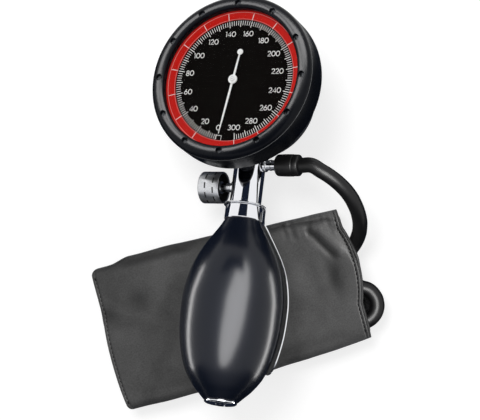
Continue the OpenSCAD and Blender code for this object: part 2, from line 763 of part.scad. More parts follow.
module spoon() {
    tip_at = bulb_end - spoon_short;
    start = body_end + fit;
    plate_end = body_end + ring_t - fit;
    neck_in = spigot_r + 1.2;
    neck_half = spoon_neck_w / 2;
    half = spoon_w / 2;
    arm_r = collar_d / 2 + air;
    sweep = 80;
    inside = [for (p = bulb_line) if (p[1] > collar_end + 2 && p[1] < tip_at) p + [spoon_gap, 0]];
    last = inside[len(inside) - 1];
    profile = concat(
        [[neck_in, start], [arm_r + spoon_t, start], [arm_r + spoon_t, collar_end - 1]],
        [for (p = inside) p + [spoon_t, 0]],
        [[last[0] + spoon_t, tip_at], [last[0], tip_at]],
        [for (i = [len(inside) - 1 : -1 : 0]) inside[i]],
        [[arm_r, collar_end - 0.5], [arm_r, plate_end], [neck_in, plate_end]]);
    edge = [[neck_half, start - cut], [neck_half, collar_end],
            [mix(neck_half, half, 0.25), collar_end + 10], [mix(neck_half, half, 0.69), collar_end + 22],
            [mix(neck_half, half, 0.92), collar_end + 31], [half, collar_end + 40]];
    color("gainsboro") tube() {
        ring(spigot_r + run, neck_out, start, plate_end);
        rotate(-spoon_turn) intersection() {
            rotate(-sweep / 2) rotate_extrude(angle = sweep) polygon(profile);
            rotate([90, 0, 90]) linear_extrude(bulb_d) polygon(concat(
                edge, arc([0, tip_at - half], half, 0, 180, 12),
                [for (i = [len(edge) - 1 : -1 : 0]) [-edge[i][0], edge[i][1]]]));
        }
    }
}

module collar() {
    r = collar_d / 2;
    c = 0.7;
    top = body_end + ring_t;
    color("gainsboro") tube() rotate_extrude() polygon([
        [spigot_r + run, top], [r - c, top], [r, top + c], [r, collar_end - c],
        [r - c, collar_end], [neck_out + fit, collar_end], [neck_out + fit, top + web_t],
        [spigot_r + run, top + web_t]]);
}

module bulb() {
    n = len(bulb_line) - 1;
    outside = concat([[neck_out, neck_start + fit], [neck_out, collar_end + 0.2]],
                     [for (i = [1 : n]) bulb_line[i]]);
    neck_end = bulb_end - end_neck_l;
    inside = concat([[end_neck_r + fit, bulb_end], [end_neck_r + fit, neck_end]],
                    [for (i = [n : -1 : 1]) let (p = bulb_line[i])
                        if (p[0] - bulb_wall > end_neck_r + 0.3 && p[1] < neck_end - 0.2)
                            [p[0] - bulb_wall, p[1]]],
                    [[spigot_r + fit, spigot_end + 0.3], [spigot_r + fit, neck_start + fit]]);
    color("#22262c") tube() rotate_extrude() polygon(concat(outside, inside));
}

module end_valve() {
    c = 0.6;
    low = intake_stop - end_floor;
    top = bulb_end + end_flange;
    color("gainsboro") tube() difference() {
        rotate_extrude() polygon([
            [0, low], [end_neck_r - c, low], [end_neck_r, low + c], [end_neck_r, bulb_end],
            [end_r - c, bulb_end], [end_r, bulb_end + c], [end_r, top - c], [end_r - 1.4, top],
            [cap_r, top], [cap_r, bulb_end - end_step], [ball_bore, bulb_end - end_step],
            [ball_bore, intake_stop], [0, intake_stop]]);
        around(3) translate([ball_bore / 2 + 0.3, 0, 0]) rod(0.6, low - cut, intake_stop + cut);
    }
}

module intake_ball() color("#303030") tube() translate([0, 0, intake_ball_at]) sphere(r = ball_r);

module end_cap() {
    r = cap_r - fit;
    low = bulb_end - end_step + 0.02;
    top = bulb_end + end_flange + 0.6;
    color("silver") tube() difference() {
        rotate_extrude() polygon([
            [1.4, low], [r, low], [r, top - 0.8], [r - 0.8, top], [1.4, top]]);
        translate([0, 0, low - 0.8]) cylinder(h = 1.8, r1 = ball_r + 0.5, r2 = 0.9);
        around(2) translate([r - 0.9, 0, 0]) rod(0.5, top - 1, top + cut);
    }
}

// Edges of the pack at a share of its width, or of its depth, with their swells
right_swell = 3.8;
left_swell = 1.8;
front_swell = 1.3;
rear_swell = 3;
function half_depth(t) = mix(pack_left, pack_right, t) / 2;
function ramp(x) = let (c = min(max(x, 0), 1)) c * c * (3 - 2 * c);
function rear_depth(t) = half_depth(t) + rear_swell * (ramp((t - 0.04) / 0.1) - 0.75 * ramp((t - 0.45) / 0.3));
function front_depth(t) = half_depth(t) + front_swell * (1 - pow(2 * t - 1, 4));
function pack_left_u(v) = -cuff_w / 2 - left_swell * max(0, 1 - pow((v + 12) / 26, 2));
function pack_right_u(v) = cuff_w / 2 + right_swell * max(0, 1 - pow((v - 5) / 21, 2));
function pack_u(t, v) = mix(pack_left_u(v), pack_right_u(v), t);
function crown(t, v, h) = -0.25 * (1 - cos(360 * (2.3 * t + v / 90))) * (1 - pow(v / h, 2));
function pack_section(t, inset) =
    let (low = inset - 0.5 * (inset == 0 ? 1 : 0), top = pack_t - inset, r = 7 - inset,
         f = r + inset - front_depth(t), b = rear_depth(t) - inset - r)
    [for (q = concat(
        [for (i = [0 : 6]) [mix(f, b, i / 6), top]],
        arc([b, top - r], r, 75, 0, 5), arc([b, low + r], r, 0, -75, 5),
        [for (i = [0 : 6]) [mix(b, f, i / 6), low]],
        arc([f, low + r], r, -105, -180, 5), arc([f, top - r], r, 180, 105, 5)))
        [pack_u(t, q[0]), q[0], q[1] + (q[1] > top - 0.01 ? crown(t, q[0], half_depth(t)) : 0)]];

module cuff_wrap() {
    steps = 14;
    outer = [for (j = [0 : steps]) pack_section(j / steps, 0)];
    inner = [for (j = [0 : steps]) pack_section(j / steps, wrap_t)];
    n = len(outer[0]);
    w = n * (steps + 1);
    color("#55575a") translate([pack_x, pack_y, 0]) rotate(pack_turn) difference() {
        polyhedron(
            points = concat([for (s = outer) each s], [for (s = inner) each s]),
            faces = concat(
                [for (j = [0 : steps - 1]) for (k = [0 : n - 1])
                    let (q = (k + 1) % n, a = j * n + k, b = j * n + q, c = a + n, d = b + n)
                    each [[a, b, d], [a, d, c], [w + a, w + d, w + b], [w + a, w + c, w + d]]],
                [for (k = [0 : n - 1]) let (q = (k + 1) % n, e = steps * n)
                    each [[k, w + k, w + q], [k, w + q, q],
                          [e + k, w + e + q, w + e + k], [e + k, e + q, w + e + q]]]));
        translate([-cuff_w, -pack_left, -20]) cube([2 * cuff_w, 2 * pack_left, 20]);
    }
}

module in_cuff() translate([pack_x, pack_y, 0]) rotate(pack_turn) children();

// Panel of the pack with round corners
module panel(l, half, low, top) {
    r = 6;
    translate([0, 0, low]) linear_extrude(top - low) union() {
        square([l - 2 * r, 2 * half], center = true);
        square([l, 2 * half - 2 * r], center = true);
        for (x = [-1, 1], y = [-1, 1]) translate([x * (l / 2 - r), y * (half - r)]) circle(r = r);
    }
}

module cuff_fold() {
    r = (fold_top - fold_low) / 2;
    mid = (fold_top + fold_low) / 2;
    gap = bladder_t / 2 + fit;
    color("#4b4d50") in_cuff() difference() {
        translate([-fold_l / 2, 0, 0]) rotate([90, 0, 90]) linear_extrude(fold_l) difference() {
            union() {
                translate([-fold_half + r, fold_low]) square([2 * fold_half - r, fold_top - fold_low]);
                translate([-fold_half + r, mid]) circle(r = r);
            }
            translate([-fold_half + r, mid - gap]) square([2 * fold_half + cut, 2 * gap]);
            translate([-fold_half + r, mid]) circle(r = gap);
        }
        translate([port_u, port_v, 0]) rod(hose_r + air, bladder_low, fold_top + cut);
    }
}

module hook_strip() {
    color("#2c2d2f") in_cuff() panel(hook_l, hook_half, pocket_low, pocket_low + strip_t);
}

module loop_strip() {
    low = pocket_low + strip_t + fit;
    color("#3a3b3d") in_cuff() panel(loop_l, loop_half, low, low + strip_t);
}

module bladder() {
    color("#1c1d1f") in_cuff() panel(bladder_l, bladder_half, bladder_low, bladder_low + bladder_t);
}

module bladder_port() {
    color("#202225") in_cuff() difference() {
        union() {
            translate([port_u, port_v, 0]) {
                rod(hose_r, bladder_low + bladder_t, hose_z);
                translate([0, 0, hose_z]) sphere(r = hose_r);
            }
            translate([port_u, port_v, hose_z]) rotate([0, -90, 0]) rod(hose_r, 0, port_l);
        }
        translate([port_u, port_v, 0]) rod(1.6, bladder_low, hose_z);
        translate([port_u, port_v, hose_z]) rotate([0, -90, 0]) rod(1.6, 0, port_l + cut);
    }
}

gauge_case();
bumper();
dial_carrier();
dial_plate();
scale_ring();
lens_gasket();
lens();
bezel();
pointer();
pinion_arbor();
hairspring();
sector_gear();
rocker();
base_plate();
top_plate();
pillars();
movement_screws();
capsule();
capsule_stud();
stem_socket();
stem_ring();
valve_body();
needle_bush();
release_needle();
release_knob();
hose_barb();
hose_sleeve();
hose();
outlet_seat();
outlet_ball();
spoon();
collar();
bulb();
end_valve();
intake_ball();
end_cap();
cuff_wrap();
cuff_fold();
hook_strip();
loop_strip();
bladder();
bladder_port();
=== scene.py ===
import json
import math

import bmesh
import bpy
from bpy.props import FloatProperty, FloatVectorProperty, IntProperty, PointerProperty
from mathutils import Matrix, Vector, noise


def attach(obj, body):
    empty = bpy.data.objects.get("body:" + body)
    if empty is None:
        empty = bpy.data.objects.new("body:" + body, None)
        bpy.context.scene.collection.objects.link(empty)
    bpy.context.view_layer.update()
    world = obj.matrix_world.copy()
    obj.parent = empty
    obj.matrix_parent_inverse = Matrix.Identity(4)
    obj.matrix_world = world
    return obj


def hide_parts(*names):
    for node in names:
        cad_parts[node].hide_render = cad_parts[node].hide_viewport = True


bl_info = {
    "name": "Palm blood pressure gauge",
    "version": (1, 0, 0),
    "blender": (4, 5, 0),
    "location": "View3D > Sidebar > Gauge",
    "description": "Builds a palm blood pressure gauge with its bulb, hose and folded cuff",
    "category": "Add Mesh",
}

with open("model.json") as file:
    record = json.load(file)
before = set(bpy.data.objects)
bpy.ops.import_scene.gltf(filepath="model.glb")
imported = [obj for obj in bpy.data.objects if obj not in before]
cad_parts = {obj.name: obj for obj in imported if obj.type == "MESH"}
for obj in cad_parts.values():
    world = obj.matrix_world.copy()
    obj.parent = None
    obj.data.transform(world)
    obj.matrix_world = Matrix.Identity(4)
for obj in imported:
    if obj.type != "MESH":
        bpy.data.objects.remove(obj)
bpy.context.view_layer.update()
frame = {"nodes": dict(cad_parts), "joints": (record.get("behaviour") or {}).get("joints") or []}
MM = 0.001


# Places that the parts share

def joint(name):
    return next(j for j in frame["joints"] if j["name"] == name)


RIGHT = -Vector(joint("needle_travel")["axis"])
ALONG = -Vector(joint("spoon_swing")["axis"])
FRONT = Vector(joint("pointer_turn")["axis"])
# Heights over the tube's axis, in millimetres: the dial's face, the pointer's joint and its top
DIAL_RISE, PIVOT_RISE, POINTER_TOP = 34.0, 34.8, 36.1
HEART = Vector(joint("pointer_turn")["pos_m"]) - FRONT * PIVOT_RISE * MM


def frame_of(x, y, z, at):
    m = Matrix((x, y, z)).transposed().to_4x4()
    m.translation = at
    return m


def shift(x, y, z):
    """A move in millimetres."""
    return Matrix.Translation(Vector((x, y, z)) * MM)


STILL = Matrix.Identity(4)
# The gauge: x to the right of the dial, y to its top, z to its front
GAUGE = frame_of(RIGHT, ALONG, FRONT, HEART)
# The tube: x to the right, y to the front, z from the gauge to the bulb
TUBE = frame_of(RIGHT, FRONT, -ALONG, HEART)


def port(at):
    """A place on the tube, with z to the right."""
    return frame_of(ALONG, FRONT, RIGHT, HEART - ALONG * at * MM)


# Places along the tube, in millimetres
BODY_TOP, BARB_AT, KNOB_AT, BODY_END, COLLAR_END, BULB_END = 32.3, 36.8, 49.5, 59.4, 68.2, 165.7

# The folded cuff, with u along its width and v across it
PACK_TURN = math.radians(22.5)
PACK = shift(0.7, -51.65, 0) @ Matrix.Rotation(PACK_TURN, 4, "Z")
# Its height, its depths at the left and right, half its width, and the radius of its edges
PACK_TOP, PACK_LEFT, PACK_RIGHT, PACK_HALF, EDGE_ROUND = 20.8, 80, 72.5, 69.5, 7.0

# The dial's values, and its sweep and the gap below its zero in degrees
SCALE_TOP, SCALE_SWEEP, SCALE_GAP = 300, 343.5, 8.25
# The height of the bumper's front, the radius of its circle of dimples, and their number
BUMPER_FRONT, DIMPLE_CIRCLE, DIMPLES = 41, 40.95, 12

# The hose's radius, the height at which it lies, and its middle line, in millimetres
HOSE_RADIUS, HOSE_LAY = 4.1, 13.4
HOSE_ROUTE = [
    (27.6173, 29.6797, 42.043), (33.0552, 30.2931, 44.5033), (38.3, 28.1, 45.6), (43.7, 25.6, 45.4),
    (49.3, 22.2, 44.2), (54.8, 17.7, 41.5), (59.3, 12.2, 37.4), (62.5, 6.4, 32), (64.1, 1.2, 25.6),
    (64.3, -3.9, 18.8), (63.2, -8.4, 14.6)]
HOSE_ROUTE += [(x, y, HOSE_LAY) for x, y in (
    (61.5, -12), (60.3, -17.7), (61.4, -23.4), (64.4, -28.3), (69.1, -31.7), (73.9, -32.7),
    (77.3, -35.2), (79.4, -38.8), (79.8, -43), (78.3, -46.9), (75.7, -49.6), (71.4, -51.7),
    (64.9, -55.1), (56.4, -58.7), (32, -65), (16, -69.5), (0, -74.5), (-16, -80), (-28, -84),
    (-38, -85), (-46, -81), (-50.5, -73.5), (-50.5, -64.5), (-45.5, -57.5), (-38, -53.5), (-29, -50))]
HOSE_ROUTE += [(-20.9047, -46.5279, 13.35), (-14.4376, -43.8491, 13.35)]


class ViewSizes(bpy.types.PropertyGroup):
    lens: FloatProperty(name="Focal length", description="Focal length of the camera", default=127.3,
                        unit="CAMERA")
    place: FloatVectorProperty(name="Place", description="Place of the camera", size=3,
                               default=(-0.00171, 0.00198, 0.948), unit="LENGTH")
    turn: FloatProperty(name="Turn", description="Turn of the camera about the plumb line",
                        default=math.radians(7.19), subtype="ANGLE")
    sky: FloatProperty(name="Soft light", description="Strength of the even light from all round",
                       default=0.52)
    key: FloatProperty(name="Key light", description="Power of the soft main lamp", default=8.0)
    gloss: FloatProperty(name="Gloss",
                         description="Strength of the lamps that only show in glossy surfaces",
                         default=9.0)
    floor_tone: FloatProperty(name="Floor tone", description="Whiteness of the floor", default=0.42)
    floor_lift: FloatProperty(name="Floor lift",
                              description="How much whiter the floor looks than it lights",
                              default=0.7)


class GaugeLooks(bpy.types.PropertyGroup):
    rubber: FloatVectorProperty(name="Bumper", description="Colour of the rubber bumper", subtype="COLOR",
                                size=3, default=(0.003, 0.0038, 0.0062))
    ring: FloatVectorProperty(name="Scale ring", description="Colour of the ring round the dial",
                              subtype="COLOR", size=3, default=(0.56, 0.012, 0.008))
    number_height: FloatProperty(name="Number height", description="Height of the numbers on the dial",
                                 default=0.0031, unit="LENGTH")
    number_radius: FloatProperty(name="Number circle", description="Radius of the circle of numbers",
                                 default=0.0258, unit="LENGTH")


class BulbLooks(bpy.types.PropertyGroup):
    rubber: FloatVectorProperty(name="Bulb", description="Colour of the bulb", subtype="COLOR",
                                size=3, default=(0.0034, 0.0056, 0.0125))
    diameter: FloatProperty(name="Diameter", description="Largest diameter of the bulb", default=0.054,
                            unit="LENGTH")
    length: FloatProperty(name="Length", description="Length of the bulb below its collar",
                          default=0.0975, unit="LENGTH")
    spoon_width: FloatProperty(name="Spoon width", description="Width of the finger spoon", default=0.025,
                               unit="LENGTH")


class CuffLooks(bpy.types.PropertyGroup):
    cloth: FloatVectorProperty(name="Cloth", description="Colour of the cuff's cloth", subtype="COLOR",
                               size=3, default=(0.041, 0.041, 0.041))
    stitch: FloatProperty(name="Stitch length", description="Length of one stitch", default=0.0024,
                          unit="LENGTH")
    rows: IntProperty(name="Cloth steps", description="Steps of the cloth across the cuff's width",
                      default=166)


# Modelling tools

def start_clean():
    if bpy.context.mode != "OBJECT":
        bpy.ops.object.mode_set(mode="OBJECT")
    bpy.ops.object.select_all(action="DESELECT")


def select_only(piece):
    start_clean()
    piece.select_set(True)
    bpy.context.view_layer.objects.active = piece


def settle(piece, place):
    """Turn the piece into its place and leave its object at the origin."""
    select_only(piece)
    piece.matrix_world = place @ piece.matrix_world
    bpy.ops.object.transform_apply(location=True, rotation=True, scale=True)


def thicken(piece, depth, offset=-1):
    m = piece.modifiers.new("depth", "SOLIDIFY")
    m.thickness = depth * MM
    m.offset = offset


def round_edges(piece, width, segments, angle):
    m = piece.modifiers.new("edge", "BEVEL")
    m.width = width * MM
    m.segments = segments
    m.limit_method = "ANGLE"
    m.angle_limit = math.radians(angle)


def apply_all(piece):
    select_only(piece)
    for m in list(piece.modifiers):
        bpy.ops.object.modifier_apply(modifier=m.name)


def cut(piece, tool):
    """Take the tool's form out of the piece, and the tool away."""
    m = piece.modifiers.new("cut", "BOOLEAN")
    m.operation = "DIFFERENCE"
    m.solver = "EXACT"
    m.object = tool
    apply_all(piece)
    bpy.data.objects.remove(tool)


def weld(piece, gap):
    """Join the points that lie within a gap in metres. The piece stays in edit mode, all selected."""
    select_only(piece)
    bpy.ops.object.mode_set(mode="EDIT")
    bpy.ops.mesh.select_all(action="SELECT")
    bpy.ops.mesh.remove_doubles(threshold=gap)


def turn_out():
    """Turn the faces of the piece in edit mode outwards, and leave that mode."""
    bpy.ops.mesh.normals_make_consistent(inside=False)
    bpy.ops.object.mode_set(mode="OBJECT")


def smooth(piece, angle=35):
    select_only(piece)
    bpy.ops.object.shade_smooth_by_angle(angle=math.radians(angle))


def outline_piece(name, outline, closed):
    """One vertex, extruded along an outline of (radius, height) points in millimetres."""
    start_clean()
    bpy.ops.mesh.primitive_plane_add(size=0.01)
    piece = bpy.context.object
    piece.name = piece.data.name = name
    bpy.ops.object.mode_set(mode="EDIT")
    bpy.context.tool_settings.mesh_select_mode = (True, False, False)
    mesh = bmesh.from_edit_mesh(piece.data)
    for v in mesh.verts:
        v.select_set(v.index != 0)
    bmesh.update_edit_mesh(piece.data)
    bpy.ops.mesh.delete(type="VERT")
    mesh = bmesh.from_edit_mesh(piece.data)
    mesh.verts.ensure_lookup_table()
    mesh.verts[0].co = (outline[0][0] * MM, 0, outline[0][1] * MM)
    mesh.verts[0].select_set(True)
    bmesh.update_edit_mesh(piece.data)
    path = list(outline) + ([outline[0]] if closed else [])
    for a, b in zip(path, path[1:]):
        bpy.ops.mesh.extrude_region_move(
            TRANSFORM_OT_translate={"value": ((b[0] - a[0]) * MM, 0, (b[1] - a[1]) * MM)})
    return piece


def turned(name, outline, place, steps=128, closed=True, angle=35):
    """A turned piece: the outline is spun about the z axis of its place."""
    piece = outline_piece(name, outline, closed)
    bpy.ops.mesh.select_all(action="SELECT")
    bpy.ops.mesh.spin(steps=steps, angle=2 * math.pi, center=(0, 0, 0), axis=(0, 0, 1))
    weld(piece, 2e-6)
    turn_out()
    smooth(piece, angle)
    settle(piece, place)
    return piece


def bow(cx, cy, rx, ry, start, end, n=12):
    """Points of an ellipse between two angles in degrees."""
    angles = [math.radians(start + (end - start) * i / n) for i in range(n + 1)]
    return [(cx + rx * math.cos(a), cy + ry * math.sin(a)) for a in angles]


def arc(cx, cy, r, start, end, n=6):
    return bow(cx, cy, r, r, start, end, n)


def grid(name, columns, rows, point):
    """A grid whose vertices are moved to point(s, t), with s and t from 0 to 1, in millimetres."""
    start_clean()
    bpy.ops.mesh.primitive_grid_add(x_subdivisions=columns, y_subdivisions=rows, size=1)
    piece = bpy.context.object
    piece.name = piece.data.name = name
    for v in piece.data.vertices:
        v.co = Vector(point(v.co.x + 0.5, v.co.y + 0.5)) * MM
    return piece


def joined(name, parts):
    start_clean()
    for p in parts:
        p.select_set(True)
    bpy.context.view_layer.objects.active = parts[0]
    bpy.ops.object.join()
    piece = bpy.context.object
    piece.name = piece.data.name = name
    return piece


def copy_of(piece, place):
    twin = piece.copy()
    twin.data = piece.data.copy()
    twin.data.transform(place)
    bpy.context.scene.collection.objects.link(twin)
    return twin


# Materials

def feed(made, inputs):
    """Give each input of a node its value, or the output of another node."""
    for name, value in inputs.items():
        if isinstance(value, bpy.types.NodeSocket):
            made.id_data.links.new(value, made.inputs[name])
        else:
            made.inputs[name].default_value = value


def node(tree, kind, inputs=None, **settings):
    """A shader node with its settings and inputs."""
    made = tree.nodes.new("ShaderNode" + kind)
    for name, value in settings.items():
        setattr(made, name, value)
    feed(made, inputs or {})
    return made


def object_place(tree):
    return node(tree, "TexCoord").outputs["Object"]


def clouds(tree, place, scale, detail, **more):
    """Noise of one scale, in the units of a metre."""
    made = node(tree, "TexNoise", {"Vector": place, "Scale": scale, "Detail": detail, **more})
    return made.outputs["Fac"]


def ranged(tree, value, to_min, to_max, from_min=0, from_max=1):
    return node(tree, "MapRange", {"Value": value, "From Min": from_min, "From Max": from_max,
                                   "To Min": to_min, "To Max": to_max}).outputs["Result"]


def times(tree, a, b):
    return node(tree, "Math", {0: a, 1: b}, operation="MULTIPLY").outputs[0]


def ramp(tree, value, *stops):
    """A colour between two stops, each a place and a colour."""
    made = node(tree, "ValToRGB", {"Fac": value})
    for element, (at, shade) in zip(made.color_ramp.elements, stops):
        element.position = at
        element.color = (*shade, 1)
    return made.outputs["Color"]


def bump(tree, height, depth, **below):
    """A relief with its depth in millimetres, on the normal below it."""
    made = node(tree, "Bump", {"Height": height, "Strength": 1, "Distance": depth * MM, **below})
    return made.outputs["Normal"]


def shader(name):
    """A material with its node tree and its main shader."""
    mat = bpy.data.materials.new(name)
    mat.use_nodes = True
    return mat, mat.node_tree, mat.node_tree.nodes["Principled BSDF"]


def bare_shader(name):
    """A material with an empty node tree."""
    mat, tree, _ = shader(name)
    tree.nodes.clear()
    return mat, tree


def finish(name, colour, roughness, metallic=0.0, specular=0.5, sheen=0.0,
           grain=None, mottle=None, uneven=None):
    """A surface: grain is (scale, depth in mm), mottle and uneven are (scale, share)."""
    mat, tree, bsdf = shader(name)
    feed(bsdf, {"Base Color": (*colour, 1), "Roughness": roughness, "Metallic": metallic,
                "Specular IOR Level": specular, "Sheen Weight": sheen})
    place = object_place(tree)
    if mottle:
        scale, share = mottle
        tones = ramp(tree, clouds(tree, place, scale, 5),
                     (0.3, [c * (1 - share) for c in colour]),
                     (0.7, [min(1, c * (1 + share)) for c in colour]))
        feed(bsdf, {"Base Color": tones})
    if uneven:
        scale, share = uneven
        rough = ranged(tree, clouds(tree, place, scale, 4),
                       roughness * (1 - share), roughness * (1 + share))
        feed(bsdf, {"Roughness": rough})
    if grain:
        scale, depth = grain
        feed(bsdf, {"Normal": bump(tree, clouds(tree, place, scale, 3), depth)})
    return mat


def woven(name, colour, thread=0.32, depth=0.02, sheen=0.12, roughness=0.5, painted_crease_shade=False):
    """Closely woven cloth: two crossed sets of threads, soft creases and a slight sheen."""
    mat = finish(name, colour, roughness, uneven=(90, 0.18), sheen=sheen, specular=0.22)
    tree = mat.node_tree
    bsdf = tree.nodes["Principled BSDF"]
    feed(bsdf, {"Sheen Roughness": 0.45, "Sheen Tint": (0.8, 0.82, 0.85, 1)})
    place = object_place(tree)
    straight = node(tree, "Mapping", {"Vector": place, "Rotation": (0, 0, -PACK_TURN)}).outputs["Vector"]
    bands = 1 / (thread * MM) / 20 * math.pi
    warp, weft = (node(tree, "TexWave", {"Vector": straight, "Scale": bands, "Distortion": 0.6,
                                         "Detail": 1},
                       wave_type="BANDS", bands_direction=axis).outputs["Fac"] for axis in "XY")
    cross = node(tree, "Math", {0: warp, 1: weft}, operation="MAXIMUM").outputs[0]
    crumple = clouds(tree, place, 38, 4, Distortion=0.6)
    relief = bump(tree, cross, depth, Normal=bump(tree, crumple, 0.45))
    # painted shade: tone from the same noise as the crumples' relief, darker in their hollows and paler
    # on their rises
    crumple_shade = ranged(tree, crumple, 0.74, 1.28, from_min=0.34, from_max=0.66)
    flecks = ranged(tree, clouds(tree, straight, 1300, 2), 0.8, 1.2, from_min=0.3, from_max=0.7)
    tone = times(tree, ranged(tree, cross, 0.86, 1.1), times(tree, crumple_shade, flecks))
    if painted_crease_shade:
        # painted shade: darker in the creases and towards the front and rear sides, paler on the ridges
        tone = times(tree, tone, node(tree, "Attribute", attribute_name="crease_shade").outputs["Fac"])
    tint = node(tree, "VectorMath", {0: colour, "Scale": tone}, operation="SCALE")
    feed(bsdf, {"Base Color": tint.outputs["Vector"], "Normal": relief})
    return mat


def glass():
    """The clear lens, with a slightly uneven polish."""
    mat, tree, bsdf = shader("lens clear")
    polish = ranged(tree, clouds(tree, object_place(tree), 150, 2), 0.015, 0.04)
    feed(bsdf, {"Base Color": (0.02, 0.02, 0.02, 1), "Alpha": 0.02, "Specular IOR Level": 0.1,
                "Roughness": polish})
    return mat


MATERIALS = {}


def material(key):
    """The finish of that name, made when it is first asked for."""
    if key in MATERIALS:
        return MATERIALS[key]
    looks = bpy.context.scene
    gauge, bulb, cuff = looks.gauge_looks, looks.bulb_looks, looks.cuff_looks
    MATERIALS[key] = {
        "bumper": lambda: finish("bumper rubber", gauge.rubber, 0.27, grain=(1500, 0.008),
            mottle=(120, 0.15), uneven=(70, 0.12), specular=0.1),
        # the pale ring on the bumper's parting line paints the highlight on that edge
        "bead": lambda: finish("painted seam highlight", (0.16, 0.165, 0.17), 0.45, mottle=(150, 0.35)),
        "bezel": lambda: finish("bezel black", (0.003, 0.0035, 0.0045), 0.35, uneven=(200, 0.2),
            mottle=(300, 0.1), specular=0.12),
        "dial": lambda: finish("dial black", (0.0042, 0.0036, 0.0032), 0.6, mottle=(400, 0.1),
            specular=0.0),
        "red": lambda: finish("scale red", gauge.ring, 0.3, mottle=(200, 0.05), uneven=(150, 0.2),
            specular=0.12),
        # the pink edges of the scale ring paint the highlights on its bevels
        "ring_glint": lambda: finish("painted ring highlight", (0.8, 0.28, 0.26), 0.4, mottle=(90, 0.25), specular=0.2),
        "mark": lambda: finish("dial print", (0.86, 0.86, 0.85), 0.6, mottle=(900, 0.03)),
        "pointer": lambda: finish("pointer white", (0.87, 0.87, 0.86), 0.5, mottle=(500, 0.03)),
        "chrome": lambda: finish("chrome", (0.83, 0.84, 0.87), 0.06, metallic=1, uneven=(300, 0.3)),
        "spoon": lambda: finish("spoon steel", (0.78, 0.79, 0.81), 0.1, metallic=1, uneven=(200, 0.3)),
        "knob": lambda: finish("knob steel", (0.68, 0.69, 0.71), 0.34, metallic=1, uneven=(900, 0.25),
            grain=(3500, 0.012), mottle=(2600, 0.22)),
        "brass": lambda: finish("movement brass", (0.62, 0.44, 0.16), 0.28, metallic=1,
            uneven=(300, 0.3)),
        "bronze": lambda: finish("capsule bronze", (0.55, 0.33, 0.14), 0.3, metallic=1,
            uneven=(200, 0.3)),
        "steel": lambda: finish("bright steel", (0.6, 0.61, 0.63), 0.22, metallic=1, uneven=(300, 0.3)),
        "case": lambda: finish("case metal", (0.09, 0.095, 0.105), 0.38, metallic=0.6,
            uneven=(150, 0.3), grain=(1500, 0.01)),
        "carrier": lambda: finish("carrier black", (0.01, 0.01, 0.011), 0.5, mottle=(300, 0.2)),
        "seal": lambda: finish("seal rubber", (0.012, 0.012, 0.013), 0.55, grain=(1500, 0.02),
            mottle=(300, 0.2)),
        "hose": lambda: finish("hose rubber", (0.0055, 0.0055, 0.006), 0.38, grain=(1200, 0.01),
            mottle=(90, 0.2), uneven=(60, 0.15), specular=0.3),
        "bulb": lambda: finish("bulb rubber", bulb.rubber, 0.25, grain=(1100, 0.006), mottle=(45, 0.08),
            uneven=(40, 0.08), specular=0.32),
        "cloth": lambda: woven("cuff nylon", cuff.cloth, painted_crease_shade=True),
        "inner": lambda: woven("lining nylon", (0.05, 0.051, 0.053), roughness=0.65),
        "thread": lambda: finish("sewing thread", (0.006, 0.006, 0.0065), 0.7, mottle=(2500, 0.4),
            specular=0.1),
        "hook": lambda: woven("hook tape", (0.022, 0.022, 0.023), thread=0.9, depth=0.2, sheen=0.1),
        "loop": lambda: woven("loop tape", (0.035, 0.036, 0.037), thread=0.7, depth=0.2, sheen=0.7),
        "glass": glass,
        "bladder": lambda: finish("bladder rubber", (0.014, 0.014, 0.015), 0.5, grain=(600, 0.05),
            mottle=(60, 0.3)),
    }[key]()
    return MATERIALS[key]


def dress(piece, key):
    piece.data.materials.clear()
    piece.data.materials.append(material(key))


def enter(piece, key, replaced=None, body="instrument"):
    """Finish the piece, hang it on the body that it rides on, and hide the node that it replaces."""
    dress(piece, key)
    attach(piece, body)
    if replaced:
        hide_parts(replaced)


def seen_rays(tree):
    """1 for rays of the camera and for those that a glossy or clear surface sends on, otherwise 0."""
    path = node(tree, "LightPath")
    total = path.outputs["Is Camera Ray"]
    for kind in ("Is Glossy Ray", "Is Transmission Ray"):
        total = node(tree, "Math", {0: total, 1: path.outputs[kind]}, operation="ADD",
                     use_clamp=True).outputs[0]
    return total


def pale_floor(tone, lift):
    """Matt pale floor, which looks whiter than the light it gives back, and keeps its shadows."""
    mat, tree = bare_shader("pale floor")
    matt = node(tree, "BsdfDiffuse", {"Color": (tone, tone, tone, 1)})
    glow = node(tree, "Emission", {"Strength": times(tree, seen_rays(tree), lift)})
    both = node(tree, "AddShader", {0: matt.outputs[0], 1: glow.outputs[0]})
    node(tree, "OutputMaterial", {"Surface": both.outputs[0]})
    return mat


def card_look(name, fades):
    """A dark card. One that fades is pale above and dark near the table."""
    mat, tree = bare_shader(name)
    colour = (0.010, 0.014, 0.026, 1)
    if fades:
        rise = node(tree, "SeparateXYZ", {0: object_place(tree)}).outputs["Z"]
        colour = ramp(tree, rise, (0.13, (0.006, 0.009, 0.016)), (0.42, (0.95, 0.96, 1)))
    glow = node(tree, "Emission", {"Color": colour})
    node(tree, "OutputMaterial", {"Surface": glow.outputs[0]})
    return mat


# The stage

